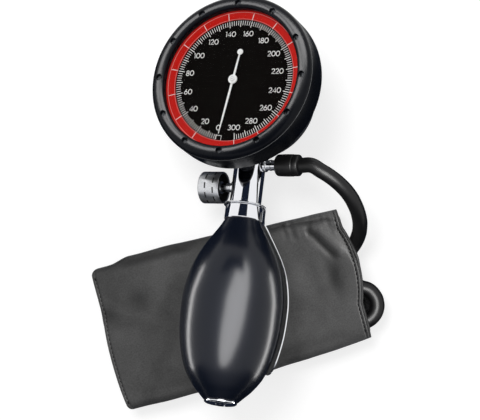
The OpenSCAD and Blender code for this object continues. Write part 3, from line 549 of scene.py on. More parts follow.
# Each lamp that glossy surfaces show: place, aim, size, share of the gloss, and the piece that it lights
LAMPS = {
    "top_box": ((0.05, 0.09, 0.54), (0.0, -0.07, 0.06), (0.42, 1.1), 0.93, "bulb"),
    "left_strip": ((-0.142, -0.06, 0.026), (-0.02, -0.06, 0.065), (0.2, 0.02), 1.5, "bulb"),
    "right_strip": ((0.142, -0.06, 0.026), (0.02, -0.06, 0.065), (0.2, 0.02), 1.4, "bulb"),
    "hose_box": ((0.07, -0.03, 0.62), (0.05, -0.03, 0.0), (0.34, 0.34), 2.2, "hose"),
    "cuff_box": ((0.5, 0.22, 0.26), (0.0, -0.06, 0.02), (0.24, 0.24), 3.3, "cuff"),
    "left_box": ((-0.46, 0.31, 0.33), (-0.02, 0.06, 0.05), (0.22, 0.34), 3.0, "bumper"),
    "back_box": ((-0.10, 0.52, 0.42), (0.0, 0.06, 0.05), (0.55, 0.28), 3.4, "bumper"),
}
# Two corners of each card that only reflections show
CARDS = {
    "dark_card": ((-0.043, 0.009, 0.1), (0.019, 0.07, 0.1)),
    "low_card": ((-0.19, -0.27, 0.0008), (0.2, 0.12, 0.0008)),
    "front_card": ((-0.45, -0.301, 0.42), (0.45, -0.299, 0.001)),
}


def lit_with(piece):
    """The collection of the pieces that one piece's lamps light."""
    name = piece + "_lit"
    return bpy.data.collections.get(name) or bpy.data.collections.new(name)


def softbox(name, place, aim, size):
    """A soft square lamp that looks from its place to its aim."""
    start_clean()
    bpy.ops.object.light_add(type="AREA", location=place)
    lamp = bpy.context.object
    lamp.name = lamp.data.name = name
    lamp.data.shape = "RECTANGLE"
    lamp.data.size, lamp.data.size_y = size
    lamp.rotation_euler = (Vector(aim) - lamp.location).to_track_quat("-Z", "Y").to_euler()
    lamp.visible_camera = False
    return lamp


# Operators

class GAUGE_OT_view(bpy.types.Operator):
    """Set the camera over the table, a little turned"""
    bl_idname = "gauge.view"
    bl_label = "Camera"

    def execute(self, context):
        sizes = context.scene.view_sizes
        start_clean()
        bpy.ops.object.camera_add(location=sizes.place, rotation=(0, 0, sizes.turn))
        camera = context.object
        camera.data.lens = sizes.lens
        camera.data.sensor_width = 36
        camera.data.clip_start = 0.01
        context.scene.camera = camera
        return {"FINISHED"}


class GAUGE_OT_hose(bpy.types.Operator):
    """Lay the hose from the side barb round the cuff's edge and into the cuff"""
    bl_idname = "gauge.hose"
    bl_label = "Hose"

    def execute(self, context):
        start_clean()
        bpy.ops.curve.primitive_bezier_curve_add()
        hose = context.object
        hose.name = hose.data.name = "hose_tube"
        spline = hose.data.splines[0]
        spline.bezier_points.add(len(HOSE_ROUTE) - 2)
        for point, p in zip(spline.bezier_points, HOSE_ROUTE):
            point.co = Vector(p) * MM
            point.handle_left_type = point.handle_right_type = "AUTO"
        hose.data.bevel_depth = HOSE_RADIUS * MM
        hose.data.bevel_resolution = 8
        hose.data.resolution_u = 10
        hose.data.use_fill_caps = True
        lit_with("hose").objects.link(hose)
        enter(hose, "hose", "hose")
        return {"FINISHED"}


class GAUGE_OT_stage(bpy.types.Operator):
    """Lay the pale floor and hang the soft lights"""
    bl_idname = "gauge.stage"
    bl_label = "Stage"

    def execute(self, context):
        sizes = context.scene.view_sizes
        start_clean()
        bpy.ops.mesh.primitive_plane_add(size=6, location=(0, 0, -0.0002))
        floor = context.object
        floor.name = "floor"
        floor.data.materials.append(pale_floor(sizes.floor_tone, sizes.floor_lift))

        world = bpy.data.worlds.new("pale room")
        context.scene.world = world
        world.use_nodes = True
        tree = world.node_tree
        tree.nodes.clear()
        lit, seen = (node(tree, "Background", {"Color": (1, 1, 1, 1), "Strength": strength}).outputs[0]
                     for strength in (sizes.sky, 1))
        both = node(tree, "MixShader", {0: seen_rays(tree), 1: lit, 2: seen})
        node(tree, "OutputWorld", {"Surface": both.outputs[0]})

        key = softbox("key", (-0.34, 0.42, 1.2), (0, 0, 0), (0.45, 0.45))
        key.data.energy = sizes.key
        key.visible_glossy = False
        for name, (place, aim, size, share, piece) in LAMPS.items():
            lamp = softbox(name, place, aim, size)
            lamp.data.energy = sizes.gloss * share * math.pi * size[0] * size[1]
            lamp.data.color = (1.0, 0.99, 0.98)
            # the cuff's lamp lights its cloth too, and the others show in glossy surfaces only
            if name == "cuff_box":
                lamp.data.use_shadow = False
            else:
                lamp.visible_diffuse = False
            if name == "top_box":
                lamp.data.shape = "ELLIPSE"
            lamp.light_linking.receiver_collection = lit_with(piece)

        for name, (low, high) in CARDS.items():
            start_clean()
            bpy.ops.mesh.primitive_plane_add(size=1)
            card = context.object
            card.name = name
            for v in card.data.vertices:
                v.co = (low[0] if v.co.x < 0 else high[0], low[1] if v.co.y < 0 else high[1],
                        low[2] if v.co.y < 0 else high[2])
            card.data.materials.append(card_look(name, name == "front_card"))
            card.visible_camera = card.visible_diffuse = card.visible_shadow = False
            card.visible_transmission = card.visible_volume_scatter = False
        context.scene.view_settings.view_transform = "Standard"
        return {"FINISHED"}


class GAUGE_OT_inside(bpy.types.Operator):
    """Give the movement, the case, the dial and the other parts that keep their shape a finish"""
    bl_idname = "gauge.inside"
    bl_label = "Movement, case and dial"

    def execute(self, context):
        for key, names in {
            "brass": ["sector_gear", "pinion_arbor", "rocker", "base_plate", "top_plate", "pillars",
                      "capsule_stud", "outlet_seat"],
            "bronze": ["capsule"],
            "steel": ["hairspring", "movement_screws", "release_needle", "intake_ball", "outlet_ball"],
            "case": ["gauge_case"],
            "carrier": ["dial_carrier"],
            "seal": ["lens_gasket", "stem_ring"],
            "chrome": ["needle_bush", "stem_socket", "end_cap"],
            "bladder": ["bladder_port"],
            "dial": ["dial_plate"],
            "pointer": ["pointer"],
            "bezel": ["bezel"],
            "glass": ["lens"],
        }.items():
            for name in names:
                dress(frame["nodes"][name], key)
        return {"FINISHED"}


class GAUGE_OT_bumper(bpy.types.Operator):
    """Turn the rubber bumper and press the dimples into its front"""
    bl_idname = "gauge.bumper"
    bl_label = "Bumper"

    def execute(self, context):
        outline = (
            [(38.25, 39.1)]
            + bow(41.0, 39.2, -2.75, 1.8, 0, 80, 8)
            + bow(41.2, 37.3, 4.45, 3.7, 90, 0, 15)
            + [(45.3, 37.12), (45.2, 37.0), (45.3, 36.86), (45.72, 36.6), (45.8, 36.2), (45.85, 30.0)]
            + arc(43.45, 23.9, 2.4, 0, -90, 8)
            + [(38.9, 21.5), (38.5, 21.6), (38.4, 22.0), (38.4, 23.4), (42.45, 23.4), (42.45, 39.1)])
        bumper = turned("bumper_rubber", outline, STILL, steps=240)
        dimple = turned("dimple", [(0, -1.9), (1.2, -1.9)] + arc(1.2, -1.5, 0.4, -90, 0, 3)
            + [(1.62, -0.3), (1.95, 0.05), (2.0, 1.2), (0, 1.2)], STILL, steps=28)
        tools = []
        for i in range(DIMPLES):
            a = math.radians(90 + i * 360 / DIMPLES)
            tools.append(copy_of(dimple, shift(math.cos(a) * DIMPLE_CIRCLE,
                                               math.sin(a) * DIMPLE_CIRCLE, BUMPER_FRONT)))
        bpy.data.objects.remove(dimple)
        cut(bumper, joined("dimple_tool", tools))
        smooth(bumper, 32)
        settle(bumper, GAUGE)
        # a thin ring on the parting line, whose pale colour paints the highlight on that edge
        bead = turned("bumper_bead", arc(45.5, 37.08, 0.24, 0, 330, 11), GAUGE, steps=240)
        enter(bead, "bead")
        lit_with("bumper").objects.link(bumper)
        enter(bumper, "bumper", "bumper")
        return {"FINISHED"}


def scale_angle(value):
    """The angle of a value on the dial, in degrees."""
    return -90 - SCALE_GAP - SCALE_SWEEP * value / SCALE_TOP


def bar(r0, r1, width, low, high):
    """A flat bar between two radii and two heights, in millimetres."""
    start_clean()
    bpy.ops.mesh.primitive_cube_add(size=1)
    made = bpy.context.object
    made.data.transform(Matrix.Diagonal(((r1 - r0) * MM, width * MM, (high - low) * MM, 1)))
    made.data.transform(shift((r0 + r1) / 2, 0, (low + high) / 2))
    return made


class GAUGE_OT_dial(bpy.types.Operator):
    """Make the scale ring, its marks, the ticks and the numbers"""
    bl_idname = "gauge.dial"
    bl_label = "Dial"

    def execute(self, context):
        looks = context.scene.gauge_looks
        ring = turned("scale_ring_red", [(33.9, 34.02), (38.85, 34.02), (38.85, 35.4), (38.6, 35.42),
            (38.35, 35.3), (38.2, 35.0), (38.05, 34.75), (37.8, 34.62), (35.0, 34.5), (34.6, 34.62),
            (34.3, 34.72), (34.05, 34.66), (33.9, 34.5)], GAUGE, steps=240, angle=50)
        enter(ring, "red", "scale_ring")
        # thin pink rings along the scale ring's inner and outer edges: painted highlights on its bevels
        highlight_lines = joined("ring_highlight_edges", [
            turned("inner_ring_highlight", arc(34.15, 34.6, 0.14, 0, 300, 5), GAUGE, steps=240),
            turned("outer_ring_highlight", arc(37.95, 34.72, 0.16, 0, 300, 5), GAUGE, steps=240)])
        enter(highlight_lines, "ring_glint")

        small = bar(30.8, 33.4, 0.27, DIAL_RISE, DIAL_RISE + 0.06)
        long = bar(29.9, 33.4, 0.36, DIAL_RISE, DIAL_RISE + 0.06)
        ring_bar = bar(33.7, 37.8, 0.3, 34.6, 34.72)
        marks, rings = [], []
        for value in range(2, SCALE_TOP + 1, 2):
            turn = Matrix.Rotation(math.radians(scale_angle(value)), 4, "Z")
            marks.append(copy_of(long if value % 10 == 0 else small, turn))
            if value % 20 == 0:
                rings.append(copy_of(ring_bar, turn))
        for b in (small, long, ring_bar):
            bpy.data.objects.remove(b)
        circle = looks.number_radius / MM
        for value in range(0, SCALE_TOP + 1, 20):
            a = math.radians(scale_angle(value))
            # numbers at the sides stand a little further left, and the 0 clears the scale's frame
            x = circle * math.cos(a) - 0.9 + 0.9 * abs(math.sin(a)) - (1.6 if value == 0 else 0.0)
            marks.append(number(str(value), looks.number_height / MM,
                                (x, circle * 1.03 * math.sin(a) - 0.2, DIAL_RISE + 0.05)))
        # the frame round the start of the scale
        turn = Matrix.Rotation(math.radians(scale_angle(0)), 4, "Z")
        for r0, r1, width, aside in ((31.0, 34.2, 0.22, -1.65), (31.0, 34.2, 0.22, 1.65),
                                     (31.0, 31.22, 3.5, 0), (34.1, 34.32, 3.5, 0)):
            side = bar(r0, r1, width, DIAL_RISE, DIAL_RISE + 0.05)
            side.data.transform(turn @ shift(0, aside, 0))
            marks.append(side)
        scale = joined("dial_marks", marks)
        settle(scale, GAUGE)
        enter(scale, "mark")

        dot = joined("hub_mark", [
            turned("hub_dot", [(0, POINTER_TOP), (0.42, POINTER_TOP), (0.42, POINTER_TOP + 0.06),
                (0, POINTER_TOP + 0.06)], GAUGE, steps=24, closed=False),
            turned("hub_line", arc(1.15, POINTER_TOP - 0.02, 0.1, 0, 300, 5), GAUGE, steps=48)])
        enter(dot, "steel", body="pointer_shaft")

        lines = joined("ring_marks", rings)
        settle(lines, GAUGE)
        enter(lines, "mark")
        return {"FINISHED"}


# Each digit's width and its strokes, in a box of height 1
DIGITS = {
    "0": (0.82, [bow(0.41, 0.5, 0.33, 0.43, 0, 360, 24)]),
    "1": (0.42, [[(0.08, 0.8), (0.26, 0.95), (0.26, 0.04)]]),
    "2": (0.72, [bow(0.34, 0.68, 0.25, 0.26, 165, -35, 10) + [(0.09, 0.07), (0.64, 0.07)]]),
    "3": (0.7, [bow(0.32, 0.71, 0.22, 0.22, 150, -90, 10), bow(0.32, 0.28, 0.27, 0.22, 90, -150, 10)]),
    "4": (0.76, [[(0.54, 0.04), (0.54, 0.94), (0.07, 0.28), (0.7, 0.28)]]),
    "6": (0.74, [bow(0.36, 0.32, 0.27, 0.26, 0, 360, 18), [(0.12, 0.44), (0.48, 0.95)]]),
    "8": (0.74, [bow(0.36, 0.71, 0.21, 0.22, 0, 360, 16), bow(0.36, 0.28, 0.27, 0.23, 0, 360, 18)]),
}
# Half the width of a stroke, in millimetres
STROKE = 0.22


def number(word, high, at):
    """A number of even strokes, centred at its place on the dial."""
    wide = sum(DIGITS[c][0] for c in word)
    start_clean()
    bpy.ops.curve.primitive_bezier_curve_add()
    curve = bpy.context.object
    curve.data.splines.clear()
    curve.data.bevel_depth = STROKE * MM
    curve.data.bevel_resolution = 1
    curve.data.use_fill_caps = True
    pen = -wide / 2
    for c in word:
        step, strokes = DIGITS[c]
        for stroke in strokes:
            spline = curve.data.splines.new("POLY")
            spline.points.add(len(stroke) - 1)
            for point, (x, y) in zip(spline.points, stroke):
                point.co = ((pen + x) * high * MM, (y - 0.5) * high * MM, 0, 1)
        pen += step
    select_only(curve)
    bpy.ops.object.convert(target="MESH")
    made = bpy.context.object
    # the strokes are printed nearly flat
    made.data.transform(Matrix.Diagonal((1, 1, 0.2, 1)))
    made.data.transform(shift(*at))
    return made


def bulb_line(diameter, length):
    """Outline of the bulb as (radius, distance along the tube), in millimetres."""
    # shares of half the diameter and of the length, with a smooth curve through them
    shape = [(0.36, 0), (0.45, 0.048), (0.615, 0.123), (0.785, 0.21), (0.915, 0.308), (0.99, 0.42),
             (1, 0.523), (0.975, 0.636), (0.9, 0.749), (0.77, 0.851), (0.6, 0.923), (0.445, 0.969),
             (0.335, 1)]
    line = []
    n, fine = len(shape) - 1, 6
    for i in range(n):
        for j in range(fine):
            s = j / fine
            a, b, c, d = (Vector(shape[k]) for k in (max(i - 1, 0), i, min(i + 1, n), min(i + 2, n)))
            line.append((b * 2 + (c - a) * s + (a * 2 - b * 5 + c * 4 - d) * s * s
                         + (b * 3 - a - c * 3 + d) * s ** 3) / 2)
    line.append(Vector(shape[-1]))
    return [(p.x * diameter / 2, COLLAR_END + p.y * length) for p in line]


class GAUGE_OT_bulb(bpy.types.Operator):
    """Turn the hollow rubber bulb"""
    bl_idname = "gauge.bulb"
    bl_label = "Bulb"

    def execute(self, context):
        looks = context.scene.bulb_looks
        line = bulb_line(looks.diameter / MM, looks.length / MM)
        end = [(8.3, 165.9), (7.6, 166.0), (6.9, 165.95), (6.1, 165.8), (6.05, 157)]
        inside = [(r - 2.2, z) for r, z in reversed(line) if r - 2.2 > 6.4 and z < 156.5]
        outline = [(9.4, 62), (9.4, 68.1)] + line[:-1] + end + inside + [(5.1, 67.6), (5.1, 62)]
        bulb = turned("bulb_skin", outline, TUBE, steps=192)
        lit_with("bulb").objects.link(bulb)
        enter(bulb, "bulb", "bulb")
        return {"FINISHED"}


class GAUGE_OT_valve(bpy.types.Operator):
    """Turn the chromed block, the collar, the barb, the sleeve and the end valve"""
    bl_idname = "gauge.valve"
    bl_label = "Valve and collar"

    def execute(self, context):
        body = turned("valve_block", [(5.06, BODY_TOP)] + arc(7.8, 33.0, 0.7, -90, 0, 5)
            + arc(7.8, 58.7, 0.7, 0, 90, 5) + [(5.0, BODY_END), (5.0, 67.2), (2.4, 67.2), (2.4, 57.5),
            (1.8, 57.5), (1.8, 41.3), (5.06, 41.3)], TUBE, steps=144)
        # the ports of the needle and of the barb are cut into the block
        hole = turned("hole_tool", [(0, -9.5), (3.55, -9.5), (3.55, -3.5), (1.9, -3.5), (1.9, -2.7),
            (1.1, -2.7), (1.1, 0), (0, 0)], port(KNOB_AT), steps=48)
        side = turned("side_tool", [(0, 4.9), (2.55, 4.9), (2.55, 9.8), (0, 9.8)], port(BARB_AT),
            steps=48)
        cut(body, joined("port_tool", [hole, side]))
        smooth(body, 30)
        enter(body, "chrome", "valve_body")

        collar = turned("collar_chrome", [(5.06, 60.4)] + arc(9.5, 61.2, 0.8, -90, 0, 5)
            + arc(9.75, 67.65, 0.55, 0, 90, 5) + [(9.45, 68.2), (9.45, 61.8), (5.06, 61.8)], TUBE,
            steps=144)
        enter(collar, "chrome", "collar")

        barb = turned("barb_chrome", [(1.2, 5.1), (2.45, 5.1), (2.45, 8.55), (3.5, 8.55), (3.7, 8.7),
            (3.7, 9.65), (3.5, 9.85), (2.95, 10.0), (2.8, 10.2), (2.8, 11.8), (3.0, 12.0), (3.0, 12.7),
            (2.8, 12.9), (2.8, 15.9), (2.3, 16.0), (2.7, 17.7), (2.3, 18.1), (2.3, 18.4), (2.7, 20.1),
            (2.3, 20.5), (2.3, 20.8), (2.7, 22.5), (2.3, 22.9), (2.3, 23.2), (2.7, 24.9), (1.2, 25.4)],
            port(BARB_AT), steps=72)
        enter(barb, "chrome", "hose_barb")

        sleeve = turned("sleeve_rubber", [(2.85, 15.9), (4.5, 15.9)] + arc(4.5, 17.3, 1.4, -80, -8, 7)
            + [(5.95, 19.1), (6.0, 20.5), (6.05, 22.3), (6.0, 25.3), (5.95, 25.6), (5.75, 25.85),
            (5.75, 26.1), (5.9, 26.4), (5.85, 27.1)] + arc(4.6, 28.1, 1.3, 20, 88, 6) + [(4.15, 29.6),
            (1.6, 29.7), (1.6, 25.8), (2.85, 25.7)], port(BARB_AT), steps=96)
        lit_with("hose").objects.link(sleeve)
        enter(sleeve, "hose", "hose_sleeve")

        knob = turned("knob_steel", [(0, -25.7), (3.2, -25.7), (3.5, -25.9), (7.7, -25.9)]
            + arc(7.9, -25.1, 0.8, -90, 0, 6) + [(8.7, -14.4), (8.5, -13.95), (8.2, -13.75),
            (7.9, -13.85), (7.62, -14.3), (7.62, -17.9), (3.4, -17.9), (3.4, -15.1), (2.56, -15.1),
            (2.56, -18.3), (0, -18.3)], port(KNOB_AT), steps=144, closed=False, angle=30)
        enter(knob, "knob", "release_knob", body="knob")
        # the knob's hollow, lined black as painted shade, and the two rows of dashes round it
        cup = turned("knob_shade", [(3.5, -17.85), (7.55, -17.85), (7.55, -14.5), (7.45, -14.5),
            (7.45, -17.75), (3.5, -17.75)], port(KNOB_AT), steps=96)
        dashes = []
        out, wide, high, in_row = 8.72, 22, 0.8, 10
        for row in (-21.5, -16.9):
            patch = grid("dash", 8, 2, lambda u, v: (out * math.cos(math.radians(wide * u)),
                                                     out * math.sin(math.radians(wide * u)),
                                                     row + high * (v - 0.5)))
            for i in range(in_row):
                turn = Matrix.Rotation(math.radians(360 / in_row * i - row * 4), 4, "Z")
                dashes.append(copy_of(patch, port(KNOB_AT) @ turn))
            bpy.data.objects.remove(patch)
        marks = joined("knob_dashes", dashes)
        thicken(marks, 0.1)
        apply_all(marks)
        for piece in (cup, marks):
            enter(piece, "carrier", body="knob")

        flange = turned("end_flange", [(6.0, 157.5), (6.0, 165.85), (7.9, 165.85)]
            + arc(8.2, 166.35, 0.55, -70, 60, 6) + [(7.9, 167.25), (7.0, 167.5), (4.4, 167.5),
            (3.8, 167.4), (3.6, 167.1), (3.6, 165.8), (2.4, 163.8), (2.4, 159.0), (1.0, 159.0),
            (1.0, 157.5)], TUBE, steps=96)
        lit_with("bulb").objects.link(flange)
        enter(flange, "chrome", "end_valve")
        return {"FINISHED"}


class GAUGE_OT_spoon(bpy.types.Operator):
    """Bend the finger spoon along the back of the bulb"""
    bl_idname = "gauge.spoon"
    bl_label = "Spoon"

    def execute(self, context):
        looks = context.scene.bulb_looks
        line = bulb_line(looks.diameter / MM, looks.length / MM)
        tip = BULB_END - 18
        clear, dip = 2.4, 0.4
        path = [(11.2, 59.9), (11.25, 61.5), (11.3, 66.0), (11.6, 68.5)]
        path += [(r + clear, z) for r, z in line if 71 < z < tip]
        path.append((next(r for r, z in reversed(line) if z <= tip) + clear - dip, tip))
        length = [0.0]
        for a, b in zip(path, path[1:]):
            length.append(length[-1] + math.dist(a, b))

        def on_path(t):
            s = t * length[-1]
            for k in range(len(path) - 1):
                if s <= length[k + 1] or k == len(path) - 2:
                    f = (s - length[k]) / (length[k + 1] - length[k])
                    return (path[k][0] + (path[k + 1][0] - path[k][0]) * f,
                            path[k][1] + (path[k + 1][1] - path[k][1]) * f)

        # half the blade's width, half its neck's, and where it lies round the tube
        half, neck, middle = looks.spoon_width / MM / 2, 4.5, math.radians(-45)

        def half_width(z):
            if z < COLLAR_END:
                return neck
            if z > tip - half:
                q = (z - (tip - half)) / half
                return half * math.sqrt(max(0.0, 1 - min(q, 1) ** 2))
            s = min(1.0, (z - COLLAR_END) / 40)
            return neck + (half - neck) * (3 * s * s - 2 * s ** 3)

        def place(s, t):
            # rows lie closer together towards the round tip
            r, z = on_path(1 - (1 - t) ** 1.5)
            a = middle + half_width(z) * (2 * s - 1) / r
            return (r * math.cos(a), r * math.sin(a), z)

        spoon = grid("spoon_blade", 24, 120, place)
        weld(spoon, 1e-5)
        turn_out()
        thicken(spoon, 0.6, offset=0)
        round_edges(spoon, 0.18, 3, 60)
        apply_all(spoon)
        collar_ring = turned("spoon_ring", [(5.06, 59.5), (11.0, 59.5), (11.4, 59.7), (11.4, 60.1),
            (11.0, 60.3), (5.06, 60.3)], STILL, steps=96)
        spoon = joined("spoon_steel", [spoon, collar_ring])
        smooth(spoon, 40)
        settle(spoon, TUBE)
        enter(spoon, "spoon", "spoon", body="spoon")
        return {"FINISHED"}


def mix(a, b, t):
    return a + (b - a) * t


def ease(t):
    t = min(1.0, max(0.0, t))
    return t * t * (3 - 2 * t)


def half_depth(t):
    return mix(PACK_LEFT, PACK_RIGHT, t) / 2


def rear_depth(t):
    return half_depth(t) + 3 * (ease((t - 0.04) / 0.1) - 0.75 * ease((t - 0.45) / 0.3))


def front_depth(t):
    return half_depth(t) + 1.3 * (1 - (2 * t - 1) ** 4)


def pack_u(t, v):
    """Place along the width: t from 0 at the left hem to 1 at the right one."""
    left = -PACK_HALF - 1.8 * max(0.0, 1 - ((v + 12) / 26) ** 2)
    # the left corners are round
    corner = 3.4
    near = max(0.0, corner - min(rear_depth(0) - v, v + front_depth(0)))
    left += corner - math.sqrt(max(0.0, corner ** 2 - near * near))
    right = PACK_HALF + 3.8 * max(0.0, 1 - ((v - 5) / 21) ** 2)
    return mix(left, right, t)


def wrap_point(t, s):
    """A point of the wrapped cloth: t along the cuff's width, s round its section."""
    r = EDGE_ROUND
    front, rear = r - front_depth(t), rear_depth(t) - r
    flat, up, turn = rear - front, PACK_TOP - 2 * r, math.pi * r / 2
    round_all = 2 * (flat + up) + 4 * turn
    # from the middle of the underside to the rear, over the top and round the front
    d = (s * round_all + flat / 2) % round_all
    for v, z, start, side in ((rear, r, -90, flat), (rear, PACK_TOP - r, 0, up),
                              (front, PACK_TOP - r, 90, flat), (front, r, 180, up)):
        if d <= side + turn + 1e-9:
            break
        d -= side + turn
    # back along the side, or on round the corner that follows it
    back = max(0.0, side - d)
    a = math.radians(start) + max(0.0, d - side) / r
    v += r * math.cos(a) + back * math.sin(a)
    z += r * math.sin(a) - back * math.cos(a)
    return Vector((pack_u(t, v), v, z))


# How far the cloth's mean lies below the top of the pack
SINK = 0.35


def ruffle(p):
    """Height of the cloth's soft folds over a point of the pack, in millimetres."""
    q = Vector((p.x / 34, p.y / 26, p.z / 30))
    return 0.8 * noise.noise(q) + 0.35 * noise.noise(q * 2.3 + Vector((3, 1, 7)))


def bell(x, half):
    return math.exp(-(x / half) ** 2)


def groove(u, v, a, b, half, depth):
    """A groove between two places, which fades out at its ends."""
    along = Vector(b) - Vector(a)
    d = Vector((u, v)) - Vector(a)
    s = d.dot(along) / along.length_squared
    off = abs(d.x * along.y - d.y * along.x) / along.length
    ends = ease(min(s + 0.15, 1.15 - s) / 0.3)
    return -depth * ends * bell(off, half)


def dent(u, v, cu, cv, ru, rv, depth):
    return -depth * bell(u - cu, ru) * bell(v - cv, rv)


# Grooves of the upper side: two ends, half the width and the depth, which a ridge has below zero
GROOVES = [((51, 29.5), (61.5, 12), 1.9, 1.9), ((55, 31), (66, 13), 3.4, -1.6),
           ((-60, -33), (60, -31), 3.0, 0.7), ((66.5, 27), (72, 6), 1.6, 0.9)]
# Grooves that waver along the rear edge
WAVY_GROOVES = [((-53, 38.6), (-14, 38.2), 2.2, 2.0), ((26, 36.8), (64, 32.6), 1.0, 1.9)]
# Dents of the upper side: the middle's u and v, the reach along u and v, and the depth
DENTS = [(57, 1, 4.0, 11, 1.5), (46, 8, 5, 6, 0.7), (-50, 17, 8, 5, 1.5), (-67, 13, 5, 5, 1.6),
         (-35, 6, 9, 6, 0.7)]
LEFT_SEAM_DEPTH = 0.4


def creases(u, v, right):
    """Folds, puckers and seams that the cloth's upper side shows."""
    waver = 0.9 * noise.noise(Vector((u / 7, 2, 5)))
    h = sum(groove(u, v, *g) for g in GROOVES) + sum(groove(u, v + waver, *g) for g in WAVY_GROOVES)
    h += sum(dent(u, v, *d) for d in DENTS)
    # puckers at the rear right corner
    pucker = ease((u - 34) / 6) * ease((68 - u) / 5) * ease((v - 24) / 6)
    h += 1.1 * pucker * noise.noise(Vector((u / 2.6, v / 7, 1)))
    # two seams along the right hem
    hem = right - u
    return h - 0.6 * bell(hem - 2.6, 0.45) - 0.35 * bell(hem - 1.0, 0.3)


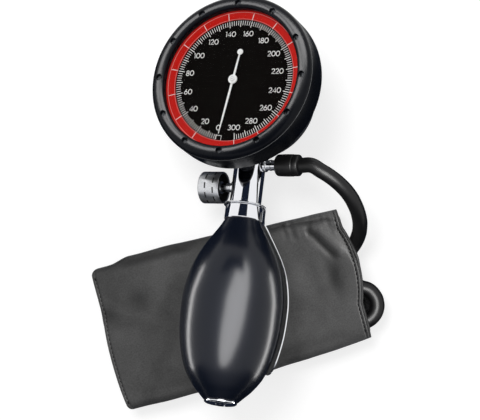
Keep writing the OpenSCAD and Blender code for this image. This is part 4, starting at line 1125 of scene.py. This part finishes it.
class GAUGE_OT_cuff(bpy.types.Operator):
    """Wrap the cuff's cloth, round the edges of its folded layers and sew its edges"""
    bl_idname = "gauge.cuff"
    bl_label = "Cuff"

    def execute(self, context):
        looks = context.scene.cuff_looks

        def spread(s):
            """Places the columns closer together along the two hems."""
            if s < 0.1:
                return 0.028 * s / 0.1
            if s > 0.86:
                return 1 - 0.035 * (1 - s) / 0.14
            return mix(0.028, 0.965, (s - 0.1) / 0.76)

        def cloth(s, t):
            s = spread(s)
            p = wrap_point(s, t)
            # soft folds, which fade out low down
            p.z += ease((p.z - 3) / 8) * (ruffle(p) - SINK)
            if p.z > 12:
                # creases, and the seam along the left hem
                edge = p.x - pack_u(0, p.y)
                h = creases(p.x, p.y, pack_u(1, p.y)) - LEFT_SEAM_DEPTH * bell(edge - 1.7, 0.4)
                p.z += ease((p.z - 12) / 7) * h
            # the front and rear sides waver
            side = ease((abs(p.y) - half_depth(s) + 9) / 7)
            p.y += side * 0.5 * noise.noise(Vector((p.x / 17, 3 if p.y > 0 else 9, p.z / 20)))
            p.z = max(p.z, 0.0)
            return p

        wrap = grid("cuff_cloth", looks.rows, 236, cloth)
        crease_shade = wrap.data.attributes.new("crease_shade", "FLOAT", "POINT")
        # painted shade for the cloth: darker in the creases and towards the pack's front and rear sides,
        # paler on the ridges
        for v in wrap.data.vertices:
            x, y, z = v.co / MM
            h = creases(x, y, pack_u(1, y)) if z > 14 else 0.0
            edge = ease((half_depth(0.5) + 3 - abs(y)) / 6)
            crease_shade.data[v.index].value = mix(0.62, 1.0, edge) * min(1.2, max(0.5, 1 + 0.26 * h))
        weld(wrap, 2e-6)
        turn_out()
        thicken(wrap, 2.2)
        round_edges(wrap, 0.8, 3, 55)
        apply_all(wrap)
        smooth(wrap, 60)
        settle(wrap, PACK)
        lit_with("cuff").objects.link(wrap)
        enter(wrap, "cloth", "cuff_wrap")

        start_clean()
        bpy.ops.mesh.primitive_cube_add(size=1)
        stitch = context.object
        stitch.data.transform(Matrix.Diagonal((0.65 * MM, looks.stitch * 0.6, 0.3 * MM, 1)))
        seams = []
        # one row of stitches along the left hem and one along the right
        for side, inset in ((0, 1.4), (1, 2.6)):
            v = -front_depth(side) + 5
            while v < rear_depth(side) - 5:
                u = pack_u(side, v) + (inset if side == 0 else -inset)
                z = PACK_TOP + ruffle(Vector((u, v, PACK_TOP))) - SINK + creases(u, v, pack_u(1, v))
                z += 0.02 - (LEFT_SEAM_DEPTH if side == 0 else 0)
                seams.append(copy_of(stitch, shift(u, v, z)))
                v += looks.stitch / MM
        bpy.data.objects.remove(stitch)
        seam = joined("cuff_stitches", seams)
        settle(seam, PACK)
        enter(seam, "thread")

        def tab(s, t):
            """A dark round-ended tab, laid low under the hose's loop so that the loop's inside shows
            dark.
            """
            u = mix(58, 81, s)
            half = 9 * math.sqrt(max(0.0, 1 - max(0.0, (u - 73) / 8.1) ** 2))
            v = -15 + half * (2 * t - 1)
            return (u, v, 4.6 + 0.5 * noise.noise(Vector((u / 5, v / 4, 2))))

        flap = grid("dark_tab_under_loop", 40, 24, tab)
        thicken(flap, 1.2)
        apply_all(flap)
        smooth(flap, 60)
        settle(flap, PACK)
        enter(flap, "hook")

        for replaced, name, key, slot in (("cuff_fold", "folded_layers", "inner", "fold_nylon"),
                                          ("hook_strip", "hook_tape_strip", "hook", "hook_tape"),
                                          ("loop_strip", "loop_tape_strip", "loop", "loop_tape"),
                                          ("bladder", "bladder_sheet", "bladder", "bladder_rubber")):
            twin = copy_of(frame["nodes"][replaced], STILL)
            twin.parent = None
            for k in list(twin.keys()):
                if k.startswith("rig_"):
                    del twin[k]
            twin.name = twin.data.name = name
            weld(twin, 1e-5)
            bpy.ops.mesh.dissolve_limited(angle_limit=math.radians(2))
            bpy.ops.object.mode_set(mode="OBJECT")
            round_edges(twin, 0.3, 2, 50)
            apply_all(twin)
            smooth(twin, 45)
            enter(twin, key, replaced)
        return {"FINISHED"}


class GAUGE_PT_sidebar(bpy.types.Panel):
    """Lists the steps that build the gauge"""
    bl_idname = "GAUGE_PT_sidebar"
    bl_label = "Blood pressure gauge"
    bl_space_type = "VIEW_3D"
    bl_region_type = "UI"
    bl_category = "Gauge"

    def draw(self, context):
        for step in STEPS:
            self.layout.operator(step)


OPERATORS = [GAUGE_OT_view, GAUGE_OT_hose, GAUGE_OT_stage, GAUGE_OT_inside, GAUGE_OT_bumper,
             GAUGE_OT_dial, GAUGE_OT_valve, GAUGE_OT_bulb, GAUGE_OT_spoon, GAUGE_OT_cuff]
STEPS = [c.bl_idname for c in OPERATORS]
GROUPS = {"view_sizes": ViewSizes, "gauge_looks": GaugeLooks, "bulb_looks": BulbLooks,
          "cuff_looks": CuffLooks}
CLASSES = [*GROUPS.values(), *OPERATORS, GAUGE_PT_sidebar]


def register():
    for c in CLASSES:
        bpy.utils.register_class(c)
    for name, group in GROUPS.items():
        setattr(bpy.types.Scene, name, PointerProperty(type=group))


def unregister():
    for name in GROUPS:
        delattr(bpy.types.Scene, name)
    for c in reversed(CLASSES):
        bpy.utils.unregister_class(c)


def main():
    register()
    for step in STEPS:
        group, name = step.split(".")
        getattr(getattr(bpy.ops, group), name)()
    start_clean()


if __name__ == "__main__":
    main()
